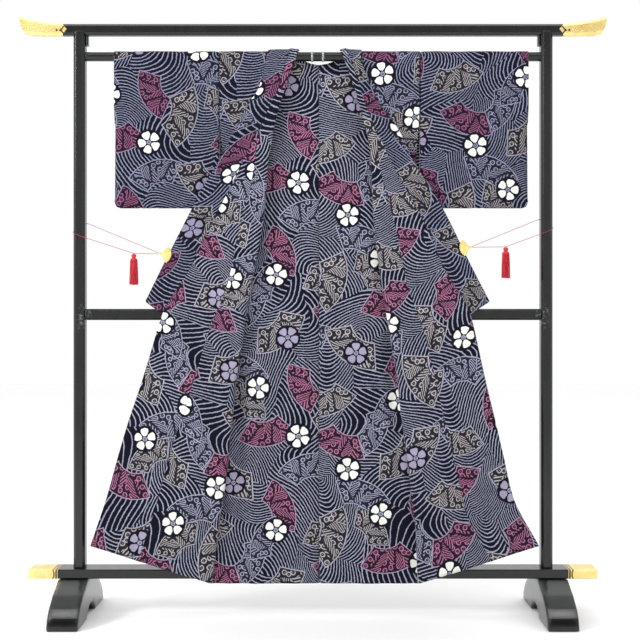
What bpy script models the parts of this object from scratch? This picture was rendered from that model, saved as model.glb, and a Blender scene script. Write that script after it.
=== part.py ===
"""A cotton yukata hung open on a black lacquered robe rack.

The robe hangs by its sleeves and shoulders over the rack's bar.  Both fronts
are drawn out sideways like wide lapels by two gilt clips on red cords, so the
inside of the fronts and of the two back panels faces forward.

Frame: metres, +Z up, the viewer stands at -Y, +X to the viewer's right.  The
origin lies on the floor, midway between the feet of the rack.
"""

import math

import bmesh
import bpy
import numpy as np
from mathutils import Matrix, Vector

# Gap left between pieces that touch, and the wider one between sewn edges
TOUCH_GAP = 0.0003
SEAM_GAP = 0.0005
# Points closer than this are one point
SAME_POINT = 1e-6
# A chamfered edge is at least this long
LONG_EDGE = 0.020
ROUND_SHARP_ANGLE = 40
CLOTH_SHARP_ANGLE = 60

# Rack
POST_X = 0.710
POST_WIDTH = 0.035
POST_DEPTH = 0.038
POST_CHAMFER = 0.007
POST_TOP = 1.774
BEAM_BOTTOM = 1.763
BEAM_HEIGHT = 0.035
BEAM_DEPTH = 0.028
BEAM_CHAMFER = 0.007
BEAM_PLAIN_HALF = 0.762
BEAM_TIP_POINT = 0.014
BEAM_JOINT_GAP = 0.0004
BEAM_END = 0.894
# The turned-up end from below: back from the end, up from the beam's underside
BEAM_END_UNDER = (
    (0.075, 0.0000),
    (0.040, 0.0015),
    (0.016, 0.0070),
    (0.006, 0.0250),
)
# and from its point back along the top: back from the end, up from the beam's top
BEAM_END_OVER = (
    (0.000, 0.0215),
    (0.035, 0.0120),
    (0.075, 0.0045),
    (0.110, 0.0005),
)
BRACKET_OUT = 0.008
BRACKET_DROP = 0.030
BRACKET_DEPTH = 0.020
BRACKET_CHAMFER = 0.0025
BAR_HEIGHT = 1.700
BAR_RADIUS = 0.014
BAR_SIDES = 32
SCREW_MERGE = 0.00005
RING_X = (-0.003, 0.030)
RING_WIDTH = 0.006
RING_THICKNESS = 0.002
MID_RAIL_HEIGHT = 0.914
MID_RAIL_TALL = 0.034
MID_RAIL_DEPTH = 0.030
MID_RAIL_CHAMFER = 0.006
BOARD_TOP = 0.1445
BOARD_THICK = 0.028
BOARD_DEPTH = 0.073
BOARD_HALF = 0.858
BOARD_CAP = 0.088
BOARD_CHAMFER = 0.0022
FOOT_X = 0.722
FOOT_WIDTH = 0.090
FOOT_ROUNDING = 0.004
FOOT_SHARP_ANGLE = 50

# Half of a foot's side outline: forward distance, height
FOOT_OUTLINE = (
    (0.000, 0.033),
    (0.022, 0.031),
    (0.044, 0.017),
    (0.060, 0.000),
    (0.182, 0.000),
    (0.181, 0.014),
    (0.172, 0.036),
    (0.153, 0.058),
    (0.112, 0.086),
    (0.070, 0.104),
    (0.046, 0.1162),
)

# Cloth
CLOTH = 0.0012
COLLAR_CLOTH = 0.0024
ROBE_X = 0.018
BAR_CLEARANCE = 0.0009
DRAPE_RADIUS = BAR_RADIUS + BAR_CLEARANCE + CLOTH / 2
QUARTER_TURN = DRAPE_RADIUS * math.pi / 2
ROBE_LENGTH = 1.620
NECK_DROP = 0.045
COLLAR_BACK_WIDTH = 0.058
COLLAR_RISE = 0.0032
COLLAR_TURNS = (0.035, 0.07, 0.11, 0.15, 0.20, 0.27, 0.36, 0.47, 0.60, 0.74, 0.87, 1.0)
SIDE_SEAM_STEP = 0.0019
ARMHOLE = 0.230
SIDE_SEAM_START = 0.370
# Below the sleeve's seam the back stays this wide until the side seam begins
BACK_WIDE_TO = 0.360
BACK_NARROW_BY = 0.460
BACK_NECK_OUT = 0.004
# Where the back is sampled: over the bar as shares of a quarter turn, round
# the neck and by the arm slit as distances down, then evenly to the hem
BACK_TURNS = (0.0, 0.2, 0.4, 0.6, 0.8, 1.0)
BACK_DOWNS = (0.032, 0.039, 0.043, NECK_DROP, 0.085, 0.150, 0.230, 0.300, 0.360, 0.410, 0.460)
BACK_EVEN_FROM = 0.540
BACK_EVEN_ROWS = 13

SLEEVE_DROP = 0.490
SLEEVE_WIDTH = {"left": 0.319, "right": 0.329}
SLEEVE_CORNER = 0.024
WRIST_OPENING = 0.230
SLEEVE_EDGE_ROUND = 0.030
# The sleeve is sampled at these shares of its width and of its outer corner
SLEEVE_ACROSS = (0.0, 0.18, 0.37, 0.56, 0.75)
SLEEVE_CORNER_STEPS = (1.0, 0.62, 0.30, 0.09, 0.0)
# and down it over the bar, along the wrist opening and below that
SLEEVE_TURNS = (0.2, 0.4, 0.6, 0.8, 1.0)
WRIST_STEPS = (0.40, 0.72, 0.86, 1.0)
SLEEVE_LOW_STEPS = (0.64, 0.80, 0.93, 0.97, 0.992, 1.0)
WRIST_CLOSES_FROM = 0.72

# How far in front of the bar's axis each layer hangs, by the distance down
# the cloth from the shoulder fold.  The back passes in front of both rails.
LAYER_COLUMNS = ("down", "back", "front")
LAYERS = (
    (QUARTER_TURN, -DRAPE_RADIUS, DRAPE_RADIUS),
    (0.230, -0.0090, 0.0160),
    (0.500, 0.0050, 0.0180),
    (0.770, 0.0178, 0.0240),
    (0.850, 0.0188, 0.0258),
    (1.200, 0.0282, 0.0340),
    (1.560, 0.0382, 0.0425),
    (1.700, 0.0390, 0.0430),
)

# The two fronts, one row for each height.  "down" values run along the cloth
# from the shoulder fold, the others across from the robe's middle.  Side is
# the armhole or side seam, roll is the line where the front turns outward,
# edge is the seam of the collar or, below it, the front edge of the overlap.
# Open is the depth of the roll, lift the height of the edge off the layer.
FRONT_COLUMNS = (
    "side_down", "roll_down", "edge_down",
    "side_left", "roll_left", "edge_left",
    "side_right", "roll_right", "edge_right",
    "open", "lift", "overlap",
)
FRONT_ROWS = (
    (0.000, 0.000, 0.000, 0.303, 0.060, 0.080, 0.307, 0.064, 0.078, 0.0070, 0.0060, 0.000),
    (0.040, 0.042, 0.042, 0.302, 0.073, 0.098, 0.305, 0.079, 0.096, 0.0080, 0.0065, 0.000),
    (0.130, 0.135, 0.133, 0.302, 0.106, 0.124, 0.305, 0.112, 0.126, 0.0100, 0.0080, 0.000),
    (0.180, 0.181, 0.181, 0.302, 0.121, 0.148, 0.305, 0.124, 0.142, 0.0115, 0.0090, 0.000),
    (0.250, 0.255, 0.254, 0.299, 0.138, 0.183, 0.302, 0.145, 0.175, 0.0140, 0.0100, 0.004),
    (0.350, 0.355, 0.349, 0.293, 0.153, 0.229, 0.296, 0.158, 0.217, 0.0180, 0.0120, 0.036),
    (0.475, 0.477, 0.444, 0.296, 0.163, 0.276, 0.299, 0.163, 0.268, 0.0220, 0.0170, 0.064),
    (0.590, 0.591, 0.547, 0.299, 0.178, 0.330, 0.302, 0.172, 0.322, 0.0250, 0.0210, 0.090),
    (0.732, 0.730, 0.664, 0.302, 0.205, 0.383, 0.303, 0.190, 0.373, 0.0270, 0.0240, 0.120),
    (0.917, 0.899, 0.811, 0.304, 0.231, 0.470, 0.305, 0.217, 0.454, 0.0280, 0.0250, 0.150),
    (1.029, 1.004, 0.914, 0.306, 0.247, 0.502, 0.304, 0.234, 0.479, 0.0290, 0.0230, 0.150),
    (1.138, 1.113, 1.022, 0.307, 0.259, 0.535, 0.304, 0.247, 0.503, 0.0300, 0.0210, 0.150),
    (1.247, 1.225, 1.130, 0.308, 0.269, 0.571, 0.304, 0.262, 0.529, 0.0300, 0.0200, 0.150),
    (1.355, 1.329, 1.238, 0.311, 0.282, 0.603, 0.302, 0.275, 0.554, 0.0280, 0.0190, 0.150),
    (1.472, 1.449, 1.358, 0.317, 0.300, 0.636, 0.301, 0.289, 0.582, 0.0220, 0.0180, 0.150),
    (1.618, 1.617, 1.504, 0.322, 0.322, 0.685, 0.298, 0.297, 0.659, 0.0140, 0.0160, 0.150),
)
FIRST_OVERLAP_ROW = 4
COLLAR_END_ROW = 9
# How one level of a front runs, before its corners are rounded.  The bend at
# the roll reaches half its depth and a little more to either side, and at
# most these shares of the cloth beneath and of the part turned outward.
ROLL_REACH = 0.010
ROLL_UNDER_SHARE = 0.42
ROLL_OUT_SHARE = 0.45
# Points between the side seam and the roll: place, share of the seam's step
# and share of the roll's depth at each
UNDER_PLACE = 0.30
UNDER_STEP_SHARE = 0.35
UNDER_DEPTH_SHARES = (0.03, 0.07, 0.14)
# The turned-out part sinks this much of its drop at the roll itself
OUT_DROP_SHARE = 0.04
OUT_PLACES = (0.25, 0.5, 0.75)
FRONT_POINTS = 13
OVERLAP_POINTS = 5
COLLAR_POINTS = 5
BACK_POINTS = 9
# A hanging fold comes in over this length, and fades this near a side seam
FOLD_GROWTH = 0.55
FOLD_FADE = 0.050
# Where the fronts, the overlaps and the collar are all sampled, in rows of
# that table: closely over the bar, then wherever an edge bends
FRONT_LEVELS = (0.0, 0.13, 0.26, 0.39, 0.54, 0.74, 1.0, 1.5, 2.0, 2.5, 3.0, 3.5, 4.0, 4.5, 5.0)
FRONT_LEVELS += (5.5, 6.0, 6.5, 7.0, 7.5, 8.0, 8.5, 9.0, 9.5, 10.0, 11.0, 12.0, 13.0, 14.0, 14.5, 15.0)

# The collar's free edge beside the first ten of those rows
COLLAR_COLUMNS = ("down", "left", "right", "lift")
COLLAR_ROWS = (
    (0.000, 0.152, 0.128, 0.0034),
    (0.042, 0.161, 0.133, 0.0036),
    (0.130, 0.185, 0.158, 0.0040),
    (0.176, 0.217, 0.186, 0.0042),
    (0.250, 0.254, 0.241, 0.0050),
    (0.343, 0.302, 0.285, 0.0070),
    (0.435, 0.356, 0.344, 0.0120),
    (0.530, 0.403, 0.394, 0.0160),
    (0.648, 0.462, 0.450, 0.0200),
    (0.772, 0.522, 0.513, 0.0220),
)

# Soft hanging folds of the back, in columns across, start, depth and width:
# how far from the middle, where down the cloth it starts, how far it stands
# forward at the hem, and its half width
BACK_FOLDS = {
    "left": ((0.075, 0.45, 0.0050, 0.034), (0.185, 0.60, 0.0075, 0.042), (0.270, 0.80, 0.0040, 0.026)),
    "right": ((0.060, 0.70, 0.0045, 0.030), (0.150, 0.40, 0.0065, 0.040), (0.245, 0.75, 0.0060, 0.032)),
}
# The same for the turned-out part of the fronts, across from the roll
FRONT_FOLDS = {
    "left": ((0.120, 0.55, 0.0060, 0.040), (0.245, 0.85, 0.0045, 0.034)),
    "right": ((0.100, 0.50, 0.0055, 0.036), (0.215, 0.95, 0.0060, 0.034)),
}
# The same for the front wall of the sleeves, across from the armhole
SLEEVE_FOLDS = {
    "left": ((0.070, 0.08, 0.0040, 0.030), (0.190, 0.14, 0.0030, 0.036)),
    "right": ((0.090, 0.06, 0.0035, 0.034), (0.230, 0.12, 0.0035, 0.030)),
}

# Clips, cords and tassels that hold the fronts open.  Left and right values
# are measured outward from the rack's middle.
CLIP_HEIGHT = {"left": 1.093, "right": 1.113}
CLIP_TILT = math.radians(9)
CLIP_BITE = 0.010
CLIP_FAN_RADIUS = 0.033
CLIP_FAN_ANGLE = math.radians(104)
CLIP_SCALLOPS = 5
SCALLOP_STEPS = 4
SCALLOP_DEPTH = 0.07
CLIP_NECK = 0.0035
# The rear jaw is smaller than the fan in front: share of radius, of angle
CLIP_REAR_SHARES = (0.96, 0.70)
CLIP_REAR_SCALLOPS = 3
BARREL_SIDES = 16
# The barrel ends this far inside the faces of the two jaws
BARREL_INSET = 0.0002
# The collar's own slope is taken between its edge and this far across it,
# and this many table rows above and below
EDGE_SLOPE_PART = 0.6
EDGE_SLOPE_ROWS = 0.2
EDGE_SEARCH_STEPS = 40
CLIP_PLATE = 0.0014
CLIP_MOUTH = 0.0040
CLIP_BARREL = 0.0045
CORD_RADIUS = 0.00075
CORD_STANDOFF = 0.0011
CORD_SPREAD = 0.0012
CORD_CORNER = 0.0016
CORD_SPACING = 0.032
CORD_LOOP_TOP = {"left": 1.193, "right": 1.205}
CORD_LOOP_DROP = 0.044
TASSEL_X = {"left": 0.541, "right": 0.582}
TASSEL_FORWARD = 0.031
TASSEL_LENGTH = 0.095
TASSEL_ABOVE_HINGE = 0.0005
TASSEL_SECTORS = 9
# Radius and height of the tied head, from its top to where the strands begin
TASSEL_PROFILE = (
    (0.0020, 0.0000),
    (0.0045, -0.0015),
    (0.0060, -0.0060),
    (0.0042, -0.0100),
    (0.0070, -0.0130),
    (0.0085, -0.0220),
)
# Strands grow in two bands between these shares of the head's last radius
TASSEL_BANDS = (0.68, 0.36)
STRAND_GAP = 0.0004
# Each strand is drawn down in two lengths: share of the skirt, spread there
STRAND_LENGTHS = ((0.30, 1.30), (1.0, 1.45))
# The strands end unevenly, by up to this share of the skirt
STRAND_UNEVEN = 0.03

SIDES = {"left": -1, "right": 1}


def clear_scene():
    for obj in list(bpy.data.objects):
        bpy.data.objects.remove(obj, do_unlink=True)


def new_collection(name):
    collection = bpy.data.collections.new(name)
    bpy.context.scene.collection.children.link(collection)
    return collection


def material(name, color, roughness, metallic=0.0):
    made = bpy.data.materials.new(name)
    made.use_nodes = True
    shader = made.node_tree.nodes["Principled BSDF"]
    shader.inputs["Base Color"].default_value = (*color, 1.0)
    shader.inputs["Roughness"].default_value = roughness
    shader.inputs["Metallic"].default_value = metallic
    made.diffuse_color = (*color, 1.0)
    return made


def add_object(name, mesh, collection, finish=None):
    obj = bpy.data.objects.new(name, mesh)
    collection.objects.link(obj)
    if finish:
        mesh.materials.append(finish)
    return obj


def mesh_from(name, build):
    """A mesh filled by build(bm), with the normals of its faces pointing out."""
    mesh = bpy.data.meshes.new(name)
    bm = bmesh.new()
    build(bm)
    if bm.faces:
        bmesh.ops.recalc_face_normals(bm, faces=bm.faces)
    bm.to_mesh(mesh)
    bm.free()
    return mesh


def smooth_shade(obj, angle=ROUND_SHARP_ANGLE):
    obj.data.shade_smooth()
    obj.data.set_sharp_from_angle(angle=math.radians(angle))


def add_bevel(obj, width, segments, angle):
    bevel = obj.modifiers.new("Bevel", "BEVEL")
    bevel.width = width
    bevel.segments = segments
    bevel.limit_method = "ANGLE"
    bevel.angle_limit = math.radians(angle)


def add_long_chamfer(obj, width, axis=0):
    """Chamfers only the edges that run along one axis."""
    weights = obj.data.attributes.new("bevel_weight_edge", "FLOAT", "EDGE")
    for edge in obj.data.edges:
        first, second = (obj.data.vertices[i].co for i in edge.vertices)
        if abs(first[axis] - second[axis]) > LONG_EDGE:
            weights.data[edge.index].value = 1.0
    bevel = obj.modifiers.new("Bevel", "BEVEL")
    bevel.width = width
    bevel.segments = 1
    bevel.limit_method = "WEIGHT"


def box(name, low, high, collection, finish, chamfer=0.0):
    size = [high[i] - low[i] for i in range(3)]
    middle = [(high[i] + low[i]) / 2 for i in range(3)]

    def build(bm):
        bmesh.ops.create_cube(bm, size=1.0, matrix=Matrix.Diagonal((*size, 1.0)))

    obj = add_object(name, mesh_from(name, build), collection, finish)
    obj.location = middle
    if chamfer:
        add_long_chamfer(obj, chamfer, size.index(max(size)))
    return obj


def outline_solid(name, outline, plane_axis, low, high, collection, finish):
    """A flat outline in the plane across plane_axis, drawn out from low to high."""
    rest = [axis for axis in range(3) if axis != plane_axis]

    def place(pair, along):
        point = [0.0, 0.0, 0.0]
        point[rest[0]], point[rest[1]] = pair
        point[plane_axis] = along
        return point

    def build(bm):
        face = bm.faces.new([bm.verts.new(place(pair, low)) for pair in outline])
        drawn = bmesh.ops.extrude_face_region(bm, geom=[face])
        moved = [item for item in drawn["geom"] if isinstance(item, bmesh.types.BMVert)]
        bmesh.ops.translate(bm, verts=moved, vec=place((0.0, 0.0), high - low))

    return add_object(name, mesh_from(name, build), collection, finish)


def turned(name, radii, middle, collection, finish):
    """A round bar or band along X from (position, radius) pairs, as a Screw."""

    def build(bm):
        ring = [bm.verts.new((x, 0.0, radius)) for x, radius in radii]
        for first, second in zip(ring, ring[1:]):
            bm.edges.new((first, second))
        if radii[0] == radii[-1]:
            bmesh.ops.remove_doubles(bm, verts=bm.verts, dist=SAME_POINT)

    obj = add_object(name, mesh_from(name, build), collection, finish)
    obj.location = middle
    screw = obj.modifiers.new("Screw", "SCREW")
    screw.axis = "X"
    screw.steps = BAR_SIDES
    screw.render_steps = BAR_SIDES
    screw.use_merge_vertices = True
    screw.merge_threshold = SCREW_MERGE
    screw.use_normal_calculate = True
    screw.use_normal_flip = True
    return obj


def table_value(x, xs, ys):
    """Value at x of a smooth curve through a table, which never overshoots it."""
    xs = np.asarray(xs, float)
    ys = np.asarray(ys, float)
    x = min(max(x, xs[0]), xs[-1])
    step = np.diff(xs)
    slope = np.diff(ys) / step
    tangent = np.zeros(len(xs))
    tangent[0], tangent[-1] = slope[0], slope[-1]
    for i in range(1, len(xs) - 1):
        if slope[i - 1] * slope[i] > 0:
            tangent[i] = 2 / (1 / slope[i - 1] + 1 / slope[i])
    i = min(int(np.searchsorted(xs, x, side="right")) - 1, len(step) - 1)
    t = (x - xs[i]) / step[i]
    start = (1 + 2 * t) * (1 - t) ** 2 * ys[i] + t * (1 - t) ** 2 * step[i] * tangent[i]
    end = t * t * (3 - 2 * t) * ys[i + 1] + t * t * (t - 1) * step[i] * tangent[i + 1]
    return float(start + end)


def column(rows, columns, name):
    return [row[columns.index(name)] for row in rows]


def layer(down, name):
    return table_value(down, column(LAYERS, LAYER_COLUMNS, "down"), column(LAYERS, LAYER_COLUMNS, name))


def ease(value, start, end):
    t = min(max((value - start) / (end - start), 0.0), 1.0)
    return t * t * (3 - 2 * t)


def hang(side, across, down, rise, facing="front"):
    """Where a point of cloth lies: over the bar first, then straight down.

    Rise is how far it stands outward of the innermost layer on that face.
    """
    outward = -1 if facing == "front" else 1
    down = max(down, SEAM_GAP / 2)
    x = ROBE_X + SIDES[side] * across
    if down < QUARTER_TURN:
        turn = down / DRAPE_RADIUS
        reach = DRAPE_RADIUS + rise
        return Vector((x, outward * reach * math.sin(turn), BAR_HEIGHT + reach * math.cos(turn)))
    return Vector((x, -layer(down, facing) + outward * rise, BAR_HEIGHT + QUARTER_TURN - down))


def fold_rise(folds, across, down):
    """Height of the soft hanging folds at a point, growing toward the hem."""
    rise = 0.0
    for place, start, depth, width in folds:
        grown = ease(down, start, start + FOLD_GROWTH)
        rise += depth * grown * math.exp(-((across - place) / width) ** 2)
    return rise


def front_value(row, name):
    places = range(len(FRONT_ROWS))
    return table_value(row, places, column(FRONT_ROWS, FRONT_COLUMNS, name))


def collar_value(row, name):
    places = range(len(COLLAR_ROWS))
    return table_value(row, places, column(COLLAR_ROWS, COLLAR_COLUMNS, name))


def round_off(points, times=3):
    """Cuts a polyline's corners until it runs smoothly, keeping both its ends."""
    for _ in range(times):
        cut = [points[0]]
        for first, second in zip(points, points[1:]):
            cut.append(first * 0.75 + second * 0.25)
            cut.append(first * 0.25 + second * 0.75)
        cut.append(points[-1])
        points = cut
    return points


def side_rise(down):
    """The front's side edge leaves the front layer to meet the back's edge."""
    sewn = ease(down, ARMHOLE + 0.03, SIDE_SEAM_START)
    return sewn * (layer(down, "back") + SIDE_SEAM_STEP - layer(down, "front"))


def front_curve(side, row):
    """One level of a front: from the side seam in to the roll and out again."""
    parts = ("side", "roll", "edge")
    side_down, roll_down, edge_down = (front_value(row, part + "_down") for part in parts)
    seam, roll, edge = (front_value(row, part + "_" + side) for part in parts)
    opening, lift = front_value(row, "open"), front_value(row, "lift")
    under = seam - roll
    corner = min(ROLL_UNDER_SHARE * under, opening / 2 + ROLL_REACH)
    out = min(ROLL_OUT_SHARE * (edge - roll), opening / 2 + ROLL_REACH)
    rise = side_rise(side_down)
    inner = seam - UNDER_PLACE * under
    low, middle, high = (share * opening for share in UNDER_DEPTH_SHARES)

    def down_at(across):
        return side_down + (roll_down - side_down) * (seam - across) / max(under, 0.001)

    controls = [
        (seam, side_down, rise),
        (inner, down_at(inner), UNDER_STEP_SHARE * rise + low),
        (roll + corner, down_at(roll + corner), middle),
        (roll, roll_down, high),
        (roll, roll_down, opening),
        (roll + out, roll_down + (edge_down - roll_down) * OUT_DROP_SHARE, opening),
    ]
    for part in OUT_PLACES:
        across = roll + out + (edge - roll - out) * part
        drop = OUT_DROP_SHARE + (1 - OUT_DROP_SHARE) * part
        down = roll_down + (edge_down - roll_down) * drop
        fold = fold_rise(FRONT_FOLDS[side], across - roll, down)
        controls.append((across, down, opening + (lift - opening) * part + fold))
    controls.append((edge, edge_down, lift))
    points = round_off([Vector(control) for control in controls])
    return np.array([hang(side, *point) for point in points])


def lengths_along(curve):
    return np.concatenate([[0.0], np.cumsum(np.linalg.norm(np.diff(curve, axis=0), axis=1))])


def slice_curve(curve, start, end, count, bend_weight=0.10):
    """Points from start to end along a curve, closer together where it bends."""
    along = lengths_along(curve)
    stations = np.linspace(start, end, 160)
    fine = np.column_stack([np.interp(stations, along, curve[:, axis]) for axis in range(3)])
    step = np.diff(fine, axis=0)
    size = np.linalg.norm(step, axis=1)
    heading = step / np.maximum(size, 1e-9)[:, None]
    turn = np.arccos(np.clip((heading[1:] * heading[:-1]).sum(axis=1), -1, 1))
    weight = size + bend_weight * np.concatenate([[0.0], turn]) / math.pi
    total = np.concatenate([[0.0], np.cumsum(weight)])
    chosen = np.interp(np.linspace(0, total[-1], count), total, stations)
    found = np.column_stack([np.interp(chosen, along, curve[:, axis]) for axis in range(3)])
    return [Vector(point) for point in found]


def sheet_mesh(name, rows):
    """An open sheet through rows of points, all rows equally long."""

    def build(bm):
        grid = [[bm.verts.new(point) for point in row] for row in rows]
        for first, second in zip(grid, grid[1:]):
            for i in range(len(first) - 1):
                bm.faces.new((first[i], first[i + 1], second[i + 1], second[i]))

    return mesh_from(name, build)


def thickened(name, mesh, collection, finish, thickness):
    """An object that gives an open sheet the thickness of its cloth."""
    obj = add_object(name, mesh, collection, finish)
    solid = obj.modifiers.new("Cloth thickness", "SOLIDIFY")
    solid.thickness = thickness
    solid.offset = 0.0
    smooth_shade(obj, CLOTH_SHARP_ANGLE)
    return obj


def cloth_piece(name, rows, collection, finish, thickness=CLOTH):
    return thickened(name, sheet_mesh(name, rows), collection, finish, thickness)


def front_levels(start, end):
    return [level for level in FRONT_LEVELS if start <= level <= end]


def make_front(side, collection, finish):
    """The front half of one body panel, folded out along its roll."""
    rows = []
    for row in FRONT_LEVELS:
        curve = front_curve(side, row)
        whole = lengths_along(curve)[-1]
        overlap = front_value(row, "overlap")
        end = whole - overlap - (SEAM_GAP / 2 if overlap > 0 else 0.0)
        rows.append(slice_curve(curve, 0.0, end, FRONT_POINTS))
    return cloth_piece("front_" + side, rows, collection, finish)


def make_overlap(side, collection, finish):
    """The long tapered panel sewn to the front edge of a front."""
    rows = []
    for row in front_levels(FIRST_OVERLAP_ROW, len(FRONT_ROWS) - 1):
        curve = front_curve(side, row)
        whole = lengths_along(curve)[-1]
        start = whole - front_value(row, "overlap") + SEAM_GAP / 2
        rows.append(slice_curve(curve, start, whole, OVERLAP_POINTS, 0.0))
    return cloth_piece("okumi_" + side, rows, collection, finish)


def collar_strip(side, first, last, facing):
    """Points from a seam point to a free-edge point, each (across, down, rise)."""
    first = Vector(first)
    last = Vector(last)
    first = first + (last - first).normalized() * SEAM_GAP
    parts = np.linspace(0, 1, COLLAR_POINTS)
    return [hang(side, *first.lerp(last, part), facing) for part in parts]


def collar_ends(side, row):
    seam = (front_value(row, "edge_" + side), front_value(row, "edge_down"), front_value(row, "lift"))
    free = (collar_value(row, side), collar_value(row, "down"), collar_value(row, "lift"))
    return Vector(seam), Vector(free)


def collar_point(side, row, part):
    """A point of the collar in front, part of the way from its seam to its edge."""
    seam, free = collar_ends(side, row)
    return hang(side, *seam.lerp(free, part))


def make_collar(side, collection, finish):
    """Half of the collar: up the front edge, over the bar, round the back neck."""
    rows = []
    for row in reversed(front_levels(0, COLLAR_END_ROW)):
        rows.append(collar_strip(side, *collar_ends(side, row), "front"))
    neck = front_value(0, "edge_" + side)
    wide = collar_value(0, side)
    lift = front_value(0, "lift")
    for turn in COLLAR_TURNS:
        angle = turn * math.pi / 2
        across = SEAM_GAP / 2 if turn == 1 else 0.0
        seam = (
            neck * math.cos(angle) + across,
            NECK_DROP * math.sin(angle),
            lift + (COLLAR_RISE - lift) * turn,
        )
        free = (
            wide * math.cos(angle) + across,
            (NECK_DROP + COLLAR_BACK_WIDTH) * math.sin(angle),
            COLLAR_RISE,
        )
        rows.append(collar_strip(side, seam, free, "back"))
    return cloth_piece("collar_" + side, rows, collection, finish, COLLAR_CLOTH)


def make_back(side, collection, finish):
    """The back half of one body panel, from the shoulder fold to the hem."""
    neck = front_value(0, "roll_" + side) + BACK_NECK_OUT
    downs = [part * QUARTER_TURN for part in BACK_TURNS]
    downs += list(BACK_DOWNS)
    downs += list(np.linspace(BACK_EVEN_FROM, ROBE_LENGTH, BACK_EVEN_ROWS))
    sides = column(FRONT_ROWS, FRONT_COLUMNS, "side_" + side)
    side_downs = column(FRONT_ROWS, FRONT_COLUMNS, "side_down")
    rows = []
    for down in downs:
        below_neck = min(down / NECK_DROP, 1.0)
        inner = neck * math.sqrt(1 - below_neck * below_neck) + SEAM_GAP / 2
        narrowing = table_value(down, side_downs, sides) - sides[0]
        outer = sides[0] + narrowing * ease(down, BACK_WIDE_TO, BACK_NARROW_BY)
        row = []
        for part in np.linspace(0, 1, BACK_POINTS):
            across = inner + (outer - inner) * part
            rise = -fold_rise(BACK_FOLDS[side], across, down) * ease(outer - across, 0.0, FOLD_FADE)
            row.append(hang(side, across, down, rise, "back"))
        rows.append(row)
    return cloth_piece("back_" + side, rows, collection, finish)


def sleeve_gap(across, down, width):
    """Share of its full depth that the sleeve keeps near its sewn edges."""
    bottom = sleeve_bottom(across, width)
    low = min(max((bottom - down) / SLEEVE_EDGE_ROUND, 0.0), 1.0)
    low = math.sqrt(1 - (1 - low) ** 2)
    closed = ease(down, WRIST_OPENING * WRIST_CLOSES_FROM, WRIST_OPENING)
    near = min(max((width - across) / SLEEVE_EDGE_ROUND, 0.0), 1.0)
    near = math.sqrt(1 - (1 - near) ** 2)
    return low * (1 - closed * (1 - near))


def sleeve_bottom(across, width):
    """Where the sleeve ends below a point across it: its outer corner is round."""
    past = max(across - (width - SLEEVE_CORNER), 0.0)
    return SLEEVE_DROP - SLEEVE_CORNER + math.sqrt(max(SLEEVE_CORNER**2 - past**2, 0.0))


def sleeve_point(side, across, part, facing, width, armhole):
    """A point of the sleeve's wall, part of the way from its fold to its bottom."""
    down = sleeve_bottom(across, width) * part
    folds = fold_rise(SLEEVE_FOLDS[side], across, down) if facing == "front" else 0.0
    hung = hang(side, armhole + across, down, 0.0, facing)
    if down < QUARTER_TURN:
        return hung
    middle = -(layer(down, "front") + layer(down, "back")) / 2
    kept = sleeve_gap(across, down, width)
    hung.y = middle + (hung.y - middle - folds) * kept
    return hung


def make_sleeve(side, collection, finish):
    """A sleeve: one length folded over the bar, sewn below and down its edge."""
    width = SLEEVE_WIDTH[side]
    armhole = front_value(0, "side_" + side) + SEAM_GAP
    across_parts = list(SLEEVE_ACROSS)
    across_parts += [1 - SLEEVE_CORNER / width * kept for kept in SLEEVE_CORNER_STEPS]
    down_parts = [QUARTER_TURN / SLEEVE_DROP * part for part in SLEEVE_TURNS]
    down_parts += [WRIST_OPENING / SLEEVE_DROP * part for part in WRIST_STEPS]
    down_parts += list(SLEEVE_LOW_STEPS)

    def build(bm):
        grid = []
        for across_part in across_parts:
            across = across_part * width
            line = []
            for part in reversed(down_parts):
                line.append(sleeve_point(side, across, part, "back", width, armhole))
            for part in [0.0] + down_parts:
                line.append(sleeve_point(side, across, part, "front", width, armhole))
            grid.append([bm.verts.new(point) for point in line])
        for first, second in zip(grid, grid[1:]):
            for i in range(len(first) - 1):
                bm.faces.new((first[i], first[i + 1], second[i + 1], second[i]))
        bmesh.ops.remove_doubles(bm, verts=bm.verts, dist=SAME_POINT)

    name = "sleeve_" + side
    return thickened(name, mesh_from(name, build), collection, finish, CLOTH)


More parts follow.
